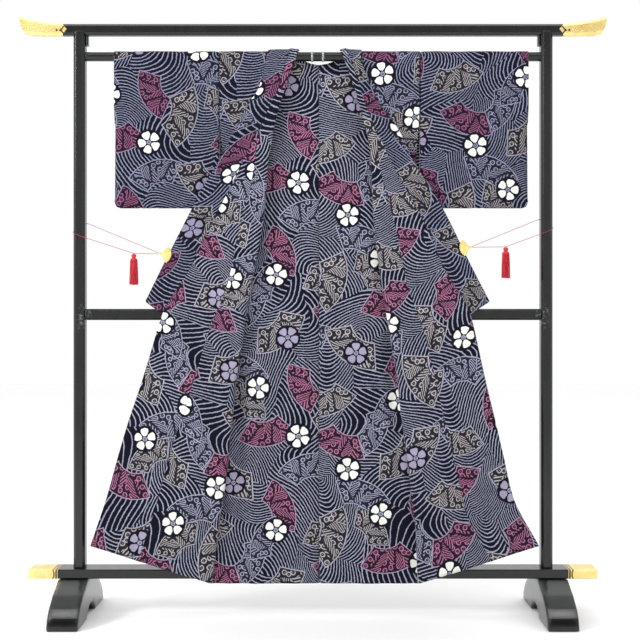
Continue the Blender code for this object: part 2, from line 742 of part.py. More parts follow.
def make_rack(collection, helpers, lacquer, gilt, clear):
    """Feet, board, posts, rails, hanging bar and the gilt-ended top beam."""
    board_bottom = BOARD_TOP - BOARD_THICK
    foot_outline = [(-forward, height) for forward, height in FOOT_OUTLINE]
    foot_outline += [(forward, height) for forward, height in reversed(FOOT_OUTLINE[1:])]
    beam_cutter = box(
        "beam_cutter",
        (-BEAM_END, -BEAM_DEPTH / 2 - TOUCH_GAP, BEAM_BOTTOM - TOUCH_GAP),
        (BEAM_END, BEAM_DEPTH / 2 + TOUCH_GAP, BEAM_BOTTOM + 2 * BEAM_HEIGHT),
        helpers,
        None,
    )
    beam_cutter.display_type = "WIRE"
    beam_cutter.hide_render = True
    for side, sign in SIDES.items():
        foot_low = sign * FOOT_X - FOOT_WIDTH / 2
        foot = outline_solid(
            "foot_" + side, foot_outline, 0, foot_low, foot_low + FOOT_WIDTH, collection, lacquer
        )
        add_bevel(foot, FOOT_ROUNDING, 2, FOOT_SHARP_ANGLE)
        post = box(
            "post_" + side,
            (sign * POST_X - POST_WIDTH / 2, -POST_DEPTH / 2, BOARD_TOP + TOUCH_GAP),
            (sign * POST_X + POST_WIDTH / 2, POST_DEPTH / 2, POST_TOP),
            collection,
            lacquer,
            POST_CHAMFER,
        )
        cut = post.modifiers.new("Seat of the beam", "BOOLEAN")
        cut.operation = "DIFFERENCE"
        cut.object = beam_cutter
        inner = sign * (POST_X - POST_WIDTH / 2 - TOUCH_GAP)
        ends = sorted((inner, inner - sign * BRACKET_OUT))
        box(
            "bracket_" + side,
            (ends[0], -BRACKET_DEPTH / 2, BEAM_BOTTOM - TOUCH_GAP - BRACKET_DROP),
            (ends[1], BRACKET_DEPTH / 2, BEAM_BOTTOM - TOUCH_GAP),
            collection,
            lacquer,
            BRACKET_CHAMFER,
        )
        cap_inner = BOARD_HALF - BOARD_CAP + TOUCH_GAP
        ends = sorted((sign * cap_inner, sign * BOARD_HALF))
        box(
            "board_cap_" + side,
            (ends[0], -BOARD_DEPTH / 2, board_bottom),
            (ends[1], BOARD_DEPTH / 2, BOARD_TOP),
            collection,
            gilt,
            BOARD_CHAMFER,
        )
        make_beam_tip(side, sign, collection, gilt)
    box(
        "bottom_board",
        (-BOARD_HALF + BOARD_CAP, -BOARD_DEPTH / 2, board_bottom),
        (BOARD_HALF - BOARD_CAP, BOARD_DEPTH / 2, BOARD_TOP),
        collection,
        lacquer,
        BOARD_CHAMFER,
    )
    rail_half = POST_X - POST_WIDTH / 2 - TOUCH_GAP
    box(
        "middle_rail",
        (-rail_half, -MID_RAIL_DEPTH / 2, MID_RAIL_HEIGHT - MID_RAIL_TALL / 2),
        (rail_half, MID_RAIL_DEPTH / 2, MID_RAIL_HEIGHT + MID_RAIL_TALL / 2),
        collection,
        lacquer,
        MID_RAIL_CHAMFER,
    )
    make_beam(collection, lacquer)
    bar = turned(
        "hanging_bar",
        [(-rail_half, 0.0), (-rail_half, BAR_RADIUS), (rail_half, BAR_RADIUS), (rail_half, 0.0)],
        (0.0, 0.0, BAR_HEIGHT),
        collection,
        lacquer,
    )
    smooth_shade(bar)
    for number, ring_x in enumerate(RING_X, start=1):
        low = BAR_RADIUS + TOUCH_GAP
        high = low + RING_THICKNESS
        half = RING_WIDTH / 2
        ring = turned(
            "bar_ring_%d" % number,
            [(-half, low), (half, low), (half, high), (-half, high), (-half, low)],
            (ring_x, 0.0, BAR_HEIGHT),
            collection,
            clear,
        )
        smooth_shade(ring)


def make_beam(collection, lacquer):
    """The plain middle of the top beam, notched at both ends for its tips."""
    top = BEAM_BOTTOM + BEAM_HEIGHT
    middle = BEAM_BOTTOM + BEAM_HEIGHT / 2
    end = BEAM_PLAIN_HALF
    outline = [
        (-end, BEAM_BOTTOM),
        (end, BEAM_BOTTOM),
        (end - BEAM_TIP_POINT, middle),
        (end, top),
        (-end, top),
        (-end + BEAM_TIP_POINT, middle),
    ]
    beam = outline_solid(
        "top_beam", outline, 1, -BEAM_DEPTH / 2, BEAM_DEPTH / 2, collection, lacquer
    )
    add_long_chamfer(beam, BEAM_CHAMFER)


def make_beam_tip(side, sign, collection, gilt):
    """A gilt end of the top beam, pointed into the beam and turned up outside."""
    top = BEAM_BOTTOM + BEAM_HEIGHT
    middle = BEAM_BOTTOM + BEAM_HEIGHT / 2
    joint = BEAM_PLAIN_HALF + BEAM_JOINT_GAP
    outline = [(joint, BEAM_BOTTOM)]
    outline += [(BEAM_END - back, BEAM_BOTTOM + up) for back, up in BEAM_END_UNDER]
    outline += [(BEAM_END - back, top + up) for back, up in BEAM_END_OVER]
    outline += [(joint, top), (joint - BEAM_TIP_POINT, middle)]
    outline = [(sign * along, height) for along, height in outline]
    tip = outline_solid(
        "beam_tip_" + side, outline, 1, -BEAM_DEPTH / 2, BEAM_DEPTH / 2, collection, gilt
    )
    add_long_chamfer(tip, BEAM_CHAMFER)


def fan_outline(radius, angle, scallops, neck):
    """A folding fan's outline: a short neck, straight sides, a scalloped rim."""
    points = [(0.0, -neck), (0.0, neck)]
    total = scallops * SCALLOP_STEPS
    for i in range(total + 1):
        turn = angle / 2 - angle * i / total
        bump = abs(math.sin(math.pi * i / SCALLOP_STEPS))
        reach = radius * (1 - SCALLOP_DEPTH + SCALLOP_DEPTH * bump)
        points.append((reach * math.cos(turn), reach * math.sin(turn)))
    return points


def join_mesh(name, parts, collection, finish):
    """Unites overlapping closed meshes into one body."""
    base = parts[0]
    for number, part in enumerate(parts[1:], start=1):
        unite = base.modifiers.new("Join %d" % number, "BOOLEAN")
        unite.operation = "UNION"
        unite.object = part
    graph = bpy.context.evaluated_depsgraph_get()
    mesh = bpy.data.meshes.new_from_object(base.evaluated_get(graph))
    mesh.name = name
    for part in parts:
        bpy.data.objects.remove(part, do_unlink=True)
    mesh.materials.clear()
    return add_object(name, mesh, collection, finish)


def collar_edge_at(side, height):
    """The collar's free edge at a height: a point, the way in and the normal."""
    low, high = 0.0, float(COLLAR_END_ROW)
    for _ in range(EDGE_SEARCH_STEPS):
        row = (low + high) / 2
        if collar_point(side, row, 1.0).z > height:
            low = row
        else:
            high = row
    edge = collar_point(side, row, 1.0)
    inward = (collar_point(side, row, EDGE_SLOPE_PART) - edge).normalized()
    above = collar_point(side, row - EDGE_SLOPE_ROWS, 1.0)
    below = collar_point(side, row + EDGE_SLOPE_ROWS, 1.0)
    along = (below - above).normalized()
    normal = inward.cross(along).normalized()
    if normal.y > 0:
        normal.negate()
    level = Vector((-SIDES[side], 0.0, 0.0))
    level = (level - normal * level.dot(normal)).normalized()
    turn = Matrix.Rotation(CLIP_TILT * SIDES[side], 3, normal)
    return edge, turn @ level, normal


def clip_hinge(side):
    """Where a clip's barrel sits, and the directions of its jaws and its face."""
    edge, inward, normal = collar_edge_at(side, CLIP_HEIGHT[side])
    return edge - inward * (CLIP_FAN_RADIUS - CLIP_BITE), inward, normal


def make_clip(side, collection, helpers, gilt):
    """A gilt fan clip whose two plates pinch the collar's edge."""
    half_mouth = CLIP_MOUTH / 2
    rear_radius, rear_angle = CLIP_REAR_SHARES
    fan = fan_outline(CLIP_FAN_RADIUS, CLIP_FAN_ANGLE, CLIP_SCALLOPS, CLIP_NECK)
    back_fan = fan_outline(
        CLIP_FAN_RADIUS * rear_radius, CLIP_FAN_ANGLE * rear_angle, CLIP_REAR_SCALLOPS, CLIP_NECK
    )
    front_plate = outline_solid(
        "clip_front", fan, 1, -half_mouth - CLIP_PLATE, -half_mouth, helpers, gilt
    )
    back_plate = outline_solid(
        "clip_back", back_fan, 1, half_mouth, half_mouth + CLIP_PLATE, helpers, gilt
    )
    reach = half_mouth + CLIP_PLATE - BARREL_INSET

    def barrel_shape(bm):
        bmesh.ops.create_cone(
            bm,
            cap_ends=True,
            segments=BARREL_SIDES,
            radius1=CLIP_BARREL,
            radius2=CLIP_BARREL,
            depth=2 * reach,
        )
        bmesh.ops.rotate(bm, verts=bm.verts, matrix=Matrix.Rotation(math.pi / 2, 3, "X"))

    barrel = add_object("clip_barrel", mesh_from("clip_barrel", barrel_shape), helpers, gilt)
    bpy.context.view_layer.update()
    clip = join_mesh("clip_" + side, [front_plate, back_plate, barrel], collection, gilt)
    hinge, inward, normal = clip_hinge(side)
    back = -normal
    frame = Matrix((inward, back, inward.cross(back))).transposed().to_4x4()
    frame.translation = hinge
    clip.matrix_world = frame
    return clip


def tassel_top(side):
    return clip_hinge(side)[0].z + TASSEL_ABOVE_HINGE


def cord_route(side):
    """The cord's middle line: clip, round the post, under the tassel, clip."""
    sign = SIDES[side]
    clear = CORD_RADIUS + CORD_STANDOFF
    half_x = POST_WIDTH / 2 + clear
    half_y = POST_DEPTH / 2 + clear
    # the cord's own corners, where it turns at the post's chamfers
    cut = POST_CHAMFER + clear * math.tan(math.pi / 8)
    top = CORD_LOOP_TOP[side]
    hinge, inward, _ = clip_hinge(side)
    eye = hinge - inward * (CLIP_BARREL + CORD_RADIUS + TOUCH_GAP)
    corners = [
        (-half_x, half_y - cut),
        (-half_x + cut, half_y),
        (half_x - cut, half_y),
        (half_x, half_y - cut),
        (half_x, -half_y + cut),
        (half_x - cut, -half_y),
        (-half_x + cut, -half_y),
    ]
    walked = 0.0
    travel = [0.0]
    for first, second in zip(corners, corners[1:]):
        walked += math.dist(first, second)
        travel.append(walked)
    points = [(sign * eye.x, eye.y, eye.z + CORD_SPREAD)]
    for (x, y), far in zip(corners, travel):
        points.append((POST_X + x, y, top - CORD_LOOP_DROP * far / walked))
    points.append((TASSEL_X[side], -TASSEL_FORWARD, tassel_top(side) + CORD_RADIUS + TOUCH_GAP))
    points.append((sign * eye.x, eye.y, eye.z - CORD_SPREAD))
    return [Vector((sign * x, y, z)) for x, y, z in points]


def fine_route(points):
    """Adds points along straight runs and takes the sharpness off each corner."""
    soft = [points[0]]
    for before, here, after in zip(points, points[1:], points[2:]):
        soft.append(here + (before - here).normalized() * CORD_CORNER)
        soft.append(here + (after - here).normalized() * CORD_CORNER)
    soft.append(points[-1])
    route = [soft[0]]
    for first, second in zip(soft, soft[1:]):
        pieces = max(1, round((second - first).length / CORD_SPACING))
        route += [first.lerp(second, i / pieces) for i in range(1, pieces + 1)]
    return route


def make_cord(side, collection, finish):
    curve = bpy.data.curves.new("cord_" + side, "CURVE")
    curve.dimensions = "3D"
    curve.bevel_depth = CORD_RADIUS
    curve.bevel_resolution = 2
    curve.use_fill_caps = True
    spline = curve.splines.new("POLY")
    route = fine_route(cord_route(side))
    spline.points.add(len(route) - 1)
    for point, place in zip(spline.points, route):
        point.co = (*place, 1.0)
    obj = bpy.data.objects.new("cord_" + side, curve)
    collection.objects.link(obj)
    curve.materials.append(finish)
    return obj


def make_tassel(side, collection, finish):
    """A knotted head with strands that grow out of its underside."""
    last_radius, last_height = TASSEL_PROFILE[-1]

    def build(bm):
        rings = [ring_of(bm, radius, height) for radius, height in TASSEL_PROFILE]
        rings += [ring_of(bm, last_radius * share, last_height) for share in TASSEL_BANDS]
        for first, second in zip(rings, rings[1:]):
            for i in range(TASSEL_SECTORS):
                j = (i + 1) % TASSEL_SECTORS
                bm.faces.new((first[i], first[j], second[j], second[i]))
        bm.faces.new(list(reversed(rings[0])))
        bm.faces.new(rings[-1])
        bmesh.ops.recalc_face_normals(bm, faces=bm.faces)
        under = [face for face in bm.faces if face.normal.z < -0.9 and len(face.verts) == 4]
        bmesh.ops.inset_individual(bm, faces=under, thickness=STRAND_GAP)
        grow_strands(bm, under)

    obj = add_object("tassel_" + side, mesh_from("tassel_" + side, build), collection, finish)
    obj.location = (SIDES[side] * TASSEL_X[side], -TASSEL_FORWARD, tassel_top(side))
    return obj


def ring_of(bm, radius, height):
    turns = [2 * math.pi * i / TASSEL_SECTORS for i in range(TASSEL_SECTORS)]
    return [bm.verts.new((radius * math.cos(t), radius * math.sin(t), height)) for t in turns]


def grow_strands(bm, roots):
    """Draws each root face down in two lengths, spreading as it goes."""
    head = -TASSEL_PROFILE[-1][1]
    skirt = TASSEL_LENGTH - head
    faces = list(roots)
    reached = 1.0
    for share, spread in STRAND_LENGTHS:
        drawn = bmesh.ops.extrude_discrete_faces(bm, faces=faces)["faces"]
        for index, face in enumerate(drawn):
            middle = face.calc_center_median()
            shift = Vector((middle.x, middle.y, 0.0)) * (spread / reached - 1.0)
            # five lengths, taken in an order that keeps neighbours unlike
            shorter = STRAND_UNEVEN * ((index * 7) % 5) / 4 if share == 1.0 else 0.0
            for vertex in face.verts:
                vertex.co.x += shift.x
                vertex.co.y += shift.y
                vertex.co.z = -head - skirt * share * (1.0 - shorter)
        faces = list(drawn)
        reached = spread


def main():
    clear_scene()
    robe_parts = new_collection("yukata_on_rack")
    helpers = new_collection("cutters")
    helpers.hide_render = True
    cotton = material("Indigo printed cotton", (0.062, 0.062, 0.150), 0.9)
    cotton_inside = material("Indigo cotton inside", (0.110, 0.105, 0.210), 0.9)
    lacquer = material("Black lacquer", (0.012, 0.014, 0.013), 0.28)
    gilt = material("Gilt", (0.86, 0.62, 0.22), 0.32, 1.0)
    clear = material("Clear plastic ring", (0.85, 0.88, 0.88), 0.15)
    silk = material("Red silk", (0.62, 0.015, 0.04), 0.6)
    make_rack(robe_parts, helpers, lacquer, gilt, clear)
    for side in SIDES:
        make_back(side, robe_parts, cotton)
        make_front(side, robe_parts, cotton_inside)
        make_overlap(side, robe_parts, cotton_inside)
        make_collar(side, robe_parts, cotton)
        make_sleeve(side, robe_parts, cotton)
        make_clip(side, robe_parts, helpers, gilt)
        make_cord(side, robe_parts, silk)
        make_tassel(side, robe_parts, silk)


main()
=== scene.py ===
# Cotton yukata on a lacquered kimono rack: finishes, cloth shells, cords,
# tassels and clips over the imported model.

import math
import random

import bmesh
import bpy
import numpy as np
from mathutils import Matrix, Vector


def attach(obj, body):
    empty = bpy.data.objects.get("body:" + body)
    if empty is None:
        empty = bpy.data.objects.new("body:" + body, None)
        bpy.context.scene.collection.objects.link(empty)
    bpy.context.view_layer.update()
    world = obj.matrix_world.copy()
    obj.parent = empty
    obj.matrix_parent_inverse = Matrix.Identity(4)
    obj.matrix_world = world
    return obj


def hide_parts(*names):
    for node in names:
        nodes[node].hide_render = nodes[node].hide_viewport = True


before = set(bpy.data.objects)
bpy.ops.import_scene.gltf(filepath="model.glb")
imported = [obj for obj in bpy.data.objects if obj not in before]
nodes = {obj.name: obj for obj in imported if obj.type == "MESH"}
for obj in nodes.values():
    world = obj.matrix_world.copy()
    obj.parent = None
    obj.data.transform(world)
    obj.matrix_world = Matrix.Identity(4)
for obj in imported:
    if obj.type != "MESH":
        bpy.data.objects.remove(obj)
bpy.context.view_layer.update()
sides = {"left": -1, "right": 1}
scene = bpy.context.scene


def linear(red, green, blue):
    # screen colour, 0 to 255, to the scene's own colour values
    def one(value):
        value = value / 255
        return value / 12.92 if value <= 0.04045 else ((value + 0.055) / 1.055) ** 2.4

    return (one(red), one(green), one(blue), 1.0)


class Graph:
    # builds a node tree with one call for each node

    def __init__(self, tree):
        self.tree = tree

    def fill(self, node, values):
        # a socket is linked, and any other value is set on the input itself
        for place, value in values.items() if isinstance(values, dict) else enumerate(values):
            if isinstance(value, bpy.types.NodeSocket):
                self.tree.links.new(value, node.inputs[place])
            else:
                node.inputs[place].default_value = value

    def node(self, kind, values=(), **settings):
        made = self.tree.nodes.new(kind)
        for key, value in settings.items():
            setattr(made, key, value)
        self.fill(made, values)
        return made

    def add(self, kind, values=(), output=0, **settings):
        return self.node(kind, values, **settings).outputs[output]

    def math(self, operation, *values):
        return self.add("ShaderNodeMath", values, operation=operation)

    def times(self, first, second):
        return self.math("MULTIPLY", first, second)

    def minus(self, first, second):
        return self.math("SUBTRACT", first, second)

    def apart(self, first, second):
        return self.math("ABSOLUTE", self.minus(first, second))

    def fromMiddle(self, value):
        # how far a repeating value is from the middle of its repeat
        return self.apart(self.math("FRACT", value), 0.5)

    def vector(self, operation, *values, output=0):
        return self.add("ShaderNodeVectorMath", values, output, operation=operation)

    def length(self, vector):
        return self.vector("LENGTH", vector, output=1)

    def stray(self, place, chance, reach):
        # moves each place by a random colour's difference from grey
        away = self.vector("SUBTRACT", chance, (0.5, 0.5, 0.5))
        return self.vector("MULTIPLY_ADD", away, (reach, reach, 0), place)

    def split(self, vector):
        return self.node("ShaderNodeSeparateXYZ", [vector]).outputs

    def mixColour(self, share, first, second):
        return self.add("ShaderNodeMix", {0: share, 6: first, 7: second}, 2, data_type="RGBA")

    def mixVector(self, share, first, second):
        return self.add("ShaderNodeMix", {0: share, 4: first, 5: second}, 1, data_type="VECTOR")

    def mixNumber(self, share, first, second):
        return self.add("ShaderNodeMix", {0: share, 2: first, 3: second})

    def smooth(self, value, low, high, toLow=0.0, toHigh=1.0):
        values = (value, low, high, toLow, toHigh)
        return self.add("ShaderNodeMapRange", values, interpolation_type="SMOOTHSTEP")

    def noise(self, place, scale, detail=2.0, roughness=0.5, dimensions="3D", output=0):
        values = {"Vector": place, "Scale": scale, "Detail": detail, "Roughness": roughness}
        return self.add("ShaderNodeTexNoise", values, output, noise_dimensions=dimensions)

    def cells(self, place, scale, randomness):
        values = {"Vector": place, "Scale": scale, "Randomness": randomness}
        return self.node("ShaderNodeTexVoronoi", values, voronoi_dimensions="2D").outputs

    def bump(self, strength, distance, height):
        values = {"Strength": strength, "Distance": distance, "Height": height}
        return self.add("ShaderNodeBump", values)

    def use(self, group, place):
        return self.node("ShaderNodeGroup", [place], node_tree=group).outputs


# the camera stands where the photograph was taken
view = {
    "place": (0.012, -3.135, 0.885),
    "focalPixels": 1028,
    "centreColumn": 317,
    "centreRow": 324,
    "frameSize": 640,
}


def addCamera():
    camera = bpy.data.cameras.new("photoCamera")
    camera.sensor_width = 36
    camera.lens = 36 * view["focalPixels"] / view["frameSize"]
    half = view["frameSize"] / 2
    camera.shift_x = (half - view["centreColumn"]) / view["frameSize"]
    camera.shift_y = (view["centreRow"] - half) / view["frameSize"]
    holder = bpy.data.objects.new("photoCamera", camera)
    holder.location = view["place"]
    holder.rotation_euler = (math.pi / 2, 0, 0)
    scene.collection.objects.link(holder)
    scene.camera = holder


studio = {
    "floorColour": (0.95, 0.95, 0.95, 1.0),
    "floorRoughness": 0.85,
    "skyBehind": 1.0,
    "skyLow": 0.90,
    "skyInFront": 0.12,
    "skyAbove": 0.95,  # added straight overhead, so that the floor stays pale
    # where each part of the sky fades in: along the view or up, from -1 to 1
    "behindFade": (-0.3, 0.7),
    "frontFade": (0.20, 0.36),
    "aboveFade": (0.45, 0.85),
    # name: place, target, width and depth, power
    "lamps": {
        "keyLeft": ((-3.5, -2.3, 2.5), (0, 0, 0.9), (1.0, 1.0), 96),
        "keyRight": ((3.1, -2.2, 2.2), (0, 0, 0.9), (1.6, 1.6), 14),
        "topSoft": ((0.0, -0.6, 4.0), (0, 0, 0.8), (2.6, 2.6), 12),
        "stripHigh": ((0.0, -1.5, 3.0), (0, 0, 0.5), (4.4, 0.24), 20),
    },
}


def addSky():
    world = bpy.data.worlds.new("paleStudio")
    world.use_nodes = True
    graph = Graph(world.node_tree)
    direction = graph.split(graph.add("ShaderNodeTexCoord"))
    front = graph.smooth(direction[2], *studio["frontFade"], studio["skyLow"], studio["skyInFront"])
    behind = graph.smooth(direction[1], *studio["behindFade"])
    strength = graph.mixNumber(behind, front, studio["skyBehind"])
    above = graph.smooth(direction[2], *studio["aboveFade"], 0.0, studio["skyAbove"])
    strength = graph.math("ADD", strength, above)
    sky = world.node_tree.nodes["Background"]
    graph.fill(sky, {"Color": (1, 1, 1, 1), "Strength": strength})
    scene.world = world


def addFloor():
    bpy.ops.mesh.primitive_plane_add(size=24, location=(0, 0, -0.0005))
    floor = bpy.context.active_object
    floor.name = "studioFloor"
    paint, graph, shader = newMaterial("paleFloor")
    colour, roughness = studio["floorColour"], studio["floorRoughness"]
    graph.fill(shader, {"Base Color": colour, "Roughness": roughness})
    floor.data.materials.append(paint)


def addLamps():
    for name, (place, target, (width, depth), power) in studio["lamps"].items():
        lamp = bpy.data.lights.new(name, "AREA")
        lamp.shape = "RECTANGLE"
        lamp.size, lamp.size_y = width, depth
        lamp.energy = power
        holder = bpy.data.objects.new(name, lamp)
        holder.location = place
        aim = Vector(target) - Vector(place)
        holder.rotation_euler = aim.to_track_quat("-Z", "Y").to_euler()
        scene.collection.objects.link(holder)


def addStudio():
    scene.view_settings.view_transform = "Standard"
    addSky()
    addFloor()
    addLamps()


def addMesh(name, verts, faces, *finishes):
    mesh = bpy.data.meshes.new(name)
    mesh.from_pydata([tuple(v) for v in verts], [], faces)
    mesh.update()
    obj = bpy.data.objects.new(name, mesh)
    scene.collection.objects.link(obj)
    for finish in finishes:
        mesh.materials.append(finish)
    mesh.shade_smooth()
    return obj


def newMaterial(name):
    made = bpy.data.materials.new(name)
    made.use_nodes = True
    return made, Graph(made.node_tree), made.node_tree.nodes["Principled BSDF"]


def standFor(obj, name):
    # the piece is drawn in place of the solid of that name and rides with it
    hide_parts(name)
    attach(obj, "root")


# red cords: each runs from a clip's eye round its post and back through a tassel
cordLook = {
    "radius": 0.00075,
    "corner": 0.0016,
    "spacing": 0.032,
    "colour": (178, 18, 40),
    "ribs": 1400,
    "eye": {"left": (-0.4639, -0.0386, 1.0974), "right": (0.4787, -0.0374, 1.1174)},
    "eyeGap": 0.0012,  # each end lies this far above or below the eye's middle
    "aboveTassel": 0.0011,
    "loopTop": {"left": 1.1930, "right": 1.2050},
    # round the post from its inner side: outward, back, up from the loop's top
    "postLoop": (
        (0.6906, 0.0131, 0.0000), (0.6984, 0.0209, -0.0046), (0.7216, 0.0209, -0.0142),
        (0.7293, 0.0131, -0.0188), (0.7293, -0.0131, -0.0298), (0.7216, -0.0209, -0.0343),
        (0.6984, -0.0209, -0.0440),
    ),
}


def silkMaterial(name, look):
    made, graph, shader = newMaterial(name)
    place = graph.add("ShaderNodeTexCoord", output=3)
    mottle = graph.noise(place, 420, 3, 0.6)
    fine = graph.noise(place, look["ribs"], 2, 0.5)
    red, green, blue, _ = linear(*look["colour"])
    dark = (red * 0.55, green * 0.55, blue * 0.55, 1.0)
    light = tuple(min(value * 1.35 + 0.01, 1) for value in (red, green, blue)) + (1.0,)
    graph.fill(shader, {
        "Base Color": graph.mixColour(graph.smooth(mottle, 0.35, 0.65), dark, light),
        "Roughness": graph.smooth(mottle, 0.3, 0.7, 0.42, 0.62),
        "Normal": graph.bump(0.5, 0.0003, fine),
        "Sheen Weight": 0.1,
        "Sheen Roughness": 0.4,
    })
    return made


def cordRoute(side):
    # in at the top of the clip's eye, and out at the bottom of it
    top, gap = cordLook["loopTop"][side], cordLook["eyeGap"]
    loop = [(sides[side] * out, back, top + up) for out, back, up in cordLook["postLoop"]]
    x, y, z = cordLook["eye"][side]
    a, b, c = tasselLook["top"][side]
    tassel = (a, b, c + cordLook["aboveTassel"])
    return fineRoute([(x, y, z + gap), *loop, tassel, (x, y, z - gap)])


def fineRoute(points):
    # takes the sharpness off each corner and adds points along straight runs
    corner, spacing = cordLook["corner"], cordLook["spacing"]
    points = [Vector(p) for p in points]
    soft = [points[0]]
    for before, here, after in zip(points, points[1:], points[2:]):
        soft.append(here + (before - here).normalized() * corner)
        soft.append(here + (after - here).normalized() * corner)
    soft.append(points[-1])
    route = [soft[0]]
    for first, second in zip(soft, soft[1:]):
        pieces = max(1, round((second - first).length / spacing))
        route += [first.lerp(second, i / pieces) for i in range(1, pieces + 1)]
    return route


def addCord(side, finish):
    route = cordRoute(side)
    curve = bpy.data.curves.new("silkCord_" + side, "CURVE")
    curve.dimensions = "3D"
    curve.bevel_depth = cordLook["radius"]
    curve.bevel_resolution = 3
    curve.use_fill_caps = True
    line = curve.splines.new("POLY")
    line.points.add(len(route) - 1)
    for point, place in zip(line.points, route):
        point.co = (*place, 1.0)
    obj = bpy.data.objects.new("silkCord_" + side, curve)
    scene.collection.objects.link(obj)
    curve.materials.append(finish)
    standFor(obj, "cord_" + side)


# tassels: a netted head, a tied neck and a skirt of twisted threads
tasselLook = {
    "top": {"left": (-0.5410, -0.0310, 1.0970), "right": (0.5820, -0.0310, 1.1170)},
    "length": 0.0945,
    "skirtTop": 0.0185,
    "skirtRadius": 0.0115,
    "flare": 1.20,
    "colour": (204, 16, 40),
    "ribs": 1800,
    "rings": 4,
    "threadRadius": 0.00072,
    "threadSpacing": 2.05,  # in thread radii
    "threadSteps": 7,
    "threadTwist": 1.3,
    "threadTaper": 0.25,
    "swirl": 0.08,
    # how uneven the threads are: round the head, in length, and to one side
    "uneven": {"turn": 0.06, "length": 0.0035, "sway": 0.0009},
    "headSides": 48,
    "headRibs": (0.035, 16),
    "headProfile": (
        (0.0018, 0.0000), (0.0048, -0.0012), (0.0072, -0.0042), (0.0075, -0.0072),
        (0.0056, -0.0098), (0.0060, -0.0108), (0.0056, -0.0118), (0.0062, -0.0128),
        (0.0086, -0.0148), (0.0102, -0.0180), (0.0107, -0.0215), (0.0080, -0.0215),
        (0.0020, -0.0212),
    ),
}


def roundShape(profile, count, ribs=0.0, ribCount=12):
    # verts and faces of a lathe-turned shape with a closed top and bottom
    verts, faces = [], []
    for radius, height in profile:
        for i in range(count):
            turn = 2 * math.pi * i / count
            reach = radius * (1 + ribs * math.cos(ribCount * turn))
            verts.append((reach * math.cos(turn), reach * math.sin(turn), height))
    last = (len(profile) - 1) * count
    for ring in range(0, last, count):
        for i in range(count):
            j = (i + 1) % count
            faces.append((ring + i, ring + count + i, ring + count + j, ring + j))
    faces.append(tuple(range(count)))
    faces.append(tuple(reversed(range(last, last + count))))
    return verts, faces


def addThread(verts, faces, radius, turn, length, sway, twist):
    # one four-sided thread of the skirt, closed at both ends
    look, start = tasselLook, len(verts)
    steps = look["threadSteps"]
    for step in range(steps):
        t = step / (steps - 1)
        spread = radius * (1 + (look["flare"] - 1) * math.sin(t * math.pi / 2))
        x = spread * math.cos(turn + look["swirl"] * t) + sway * t * t
        y = spread * math.sin(turn + look["swirl"] * t) - sway * t * t
        thick = look["threadRadius"] * (1 - look["threadTaper"] * t * t)
        for corner in range(4):
            angle = twist + look["threadTwist"] * t + corner * math.pi / 2
            place = (x + thick * math.cos(angle), y + thick * math.sin(angle))
            verts.append((*place, -look["skirtTop"] - length * t))
    end = start + (steps - 1) * 4
    for a in range(start, end, 4):
        for corner in range(4):
            following = (corner + 1) % 4
            faces.append((a + corner, a + 4 + corner, a + 4 + following, a + following))
    faces.append((start, start + 1, start + 2, start + 3))
    faces.append((end + 3, end + 2, end + 1, end))


def addTassel(side, finish):
    look, uneven = tasselLook, tasselLook["uneven"]
    chance = random.Random("tassel" + side)
    verts, faces = roundShape(look["headProfile"], look["headSides"], *look["headRibs"])
    for ring in range(look["rings"]):
        radius = look["skirtRadius"] * (ring + 0.6) / look["rings"]
        spacing = look["threadRadius"] * look["threadSpacing"]
        count = max(5, round(2 * math.pi * radius / spacing))
        for i in range(count):
            turn = 2 * math.pi * (i + 0.5 * (ring % 2)) / count
            turn += chance.uniform(-uneven["turn"], uneven["turn"])
            length = look["length"] - look["skirtTop"] - chance.uniform(0.0, uneven["length"])
            sway = chance.uniform(-uneven["sway"], uneven["sway"])
            addThread(verts, faces, radius, turn, length, sway, chance.uniform(0, math.pi))
    obj = addMesh("silkTassel_" + side, verts, faces, finish)
    obj.location = look["top"][side]
    obj.data.set_sharp_from_angle(angle=math.radians(50))
    standFor(obj, "tassel_" + side)


# the hung cloth has the same forms as the solids, sampled finely and creased
hung = {
    "barHeight": 1.700,
    "drape": 0.0155,  # from the bar's axis to the middle of the cloth
    "robeCentre": 0.018,
    "robeLength": 1.620,
    "seamStep": 0.0019,
    "armhole": 0.230,
    "seamStart": 0.370,
    "backWideTo": 0.360,
    "backNarrowBy": 0.460,
    "neckDrop": 0.045,
    "collarBackWidth": 0.058,
    "collarRise": 0.0032,
    "seamGap": 0.0002,
    # millimetres: down the cloth, then how far the back layer and the front layer
    # hang in front of the bar's axis. A minus is behind it.
    "layers": (
        (24.35, -15.5, 15.5),
        (230, -9, 16),
        (500, 5, 18),
        (770, 17.8, 24),
        (850, 18.8, 25.8),
        (1200, 28.2, 34),
        (1560, 38.2, 42.5),
        (1700, 39, 43),
    ),
}
quarterTurn = hung["drape"] * math.pi / 2

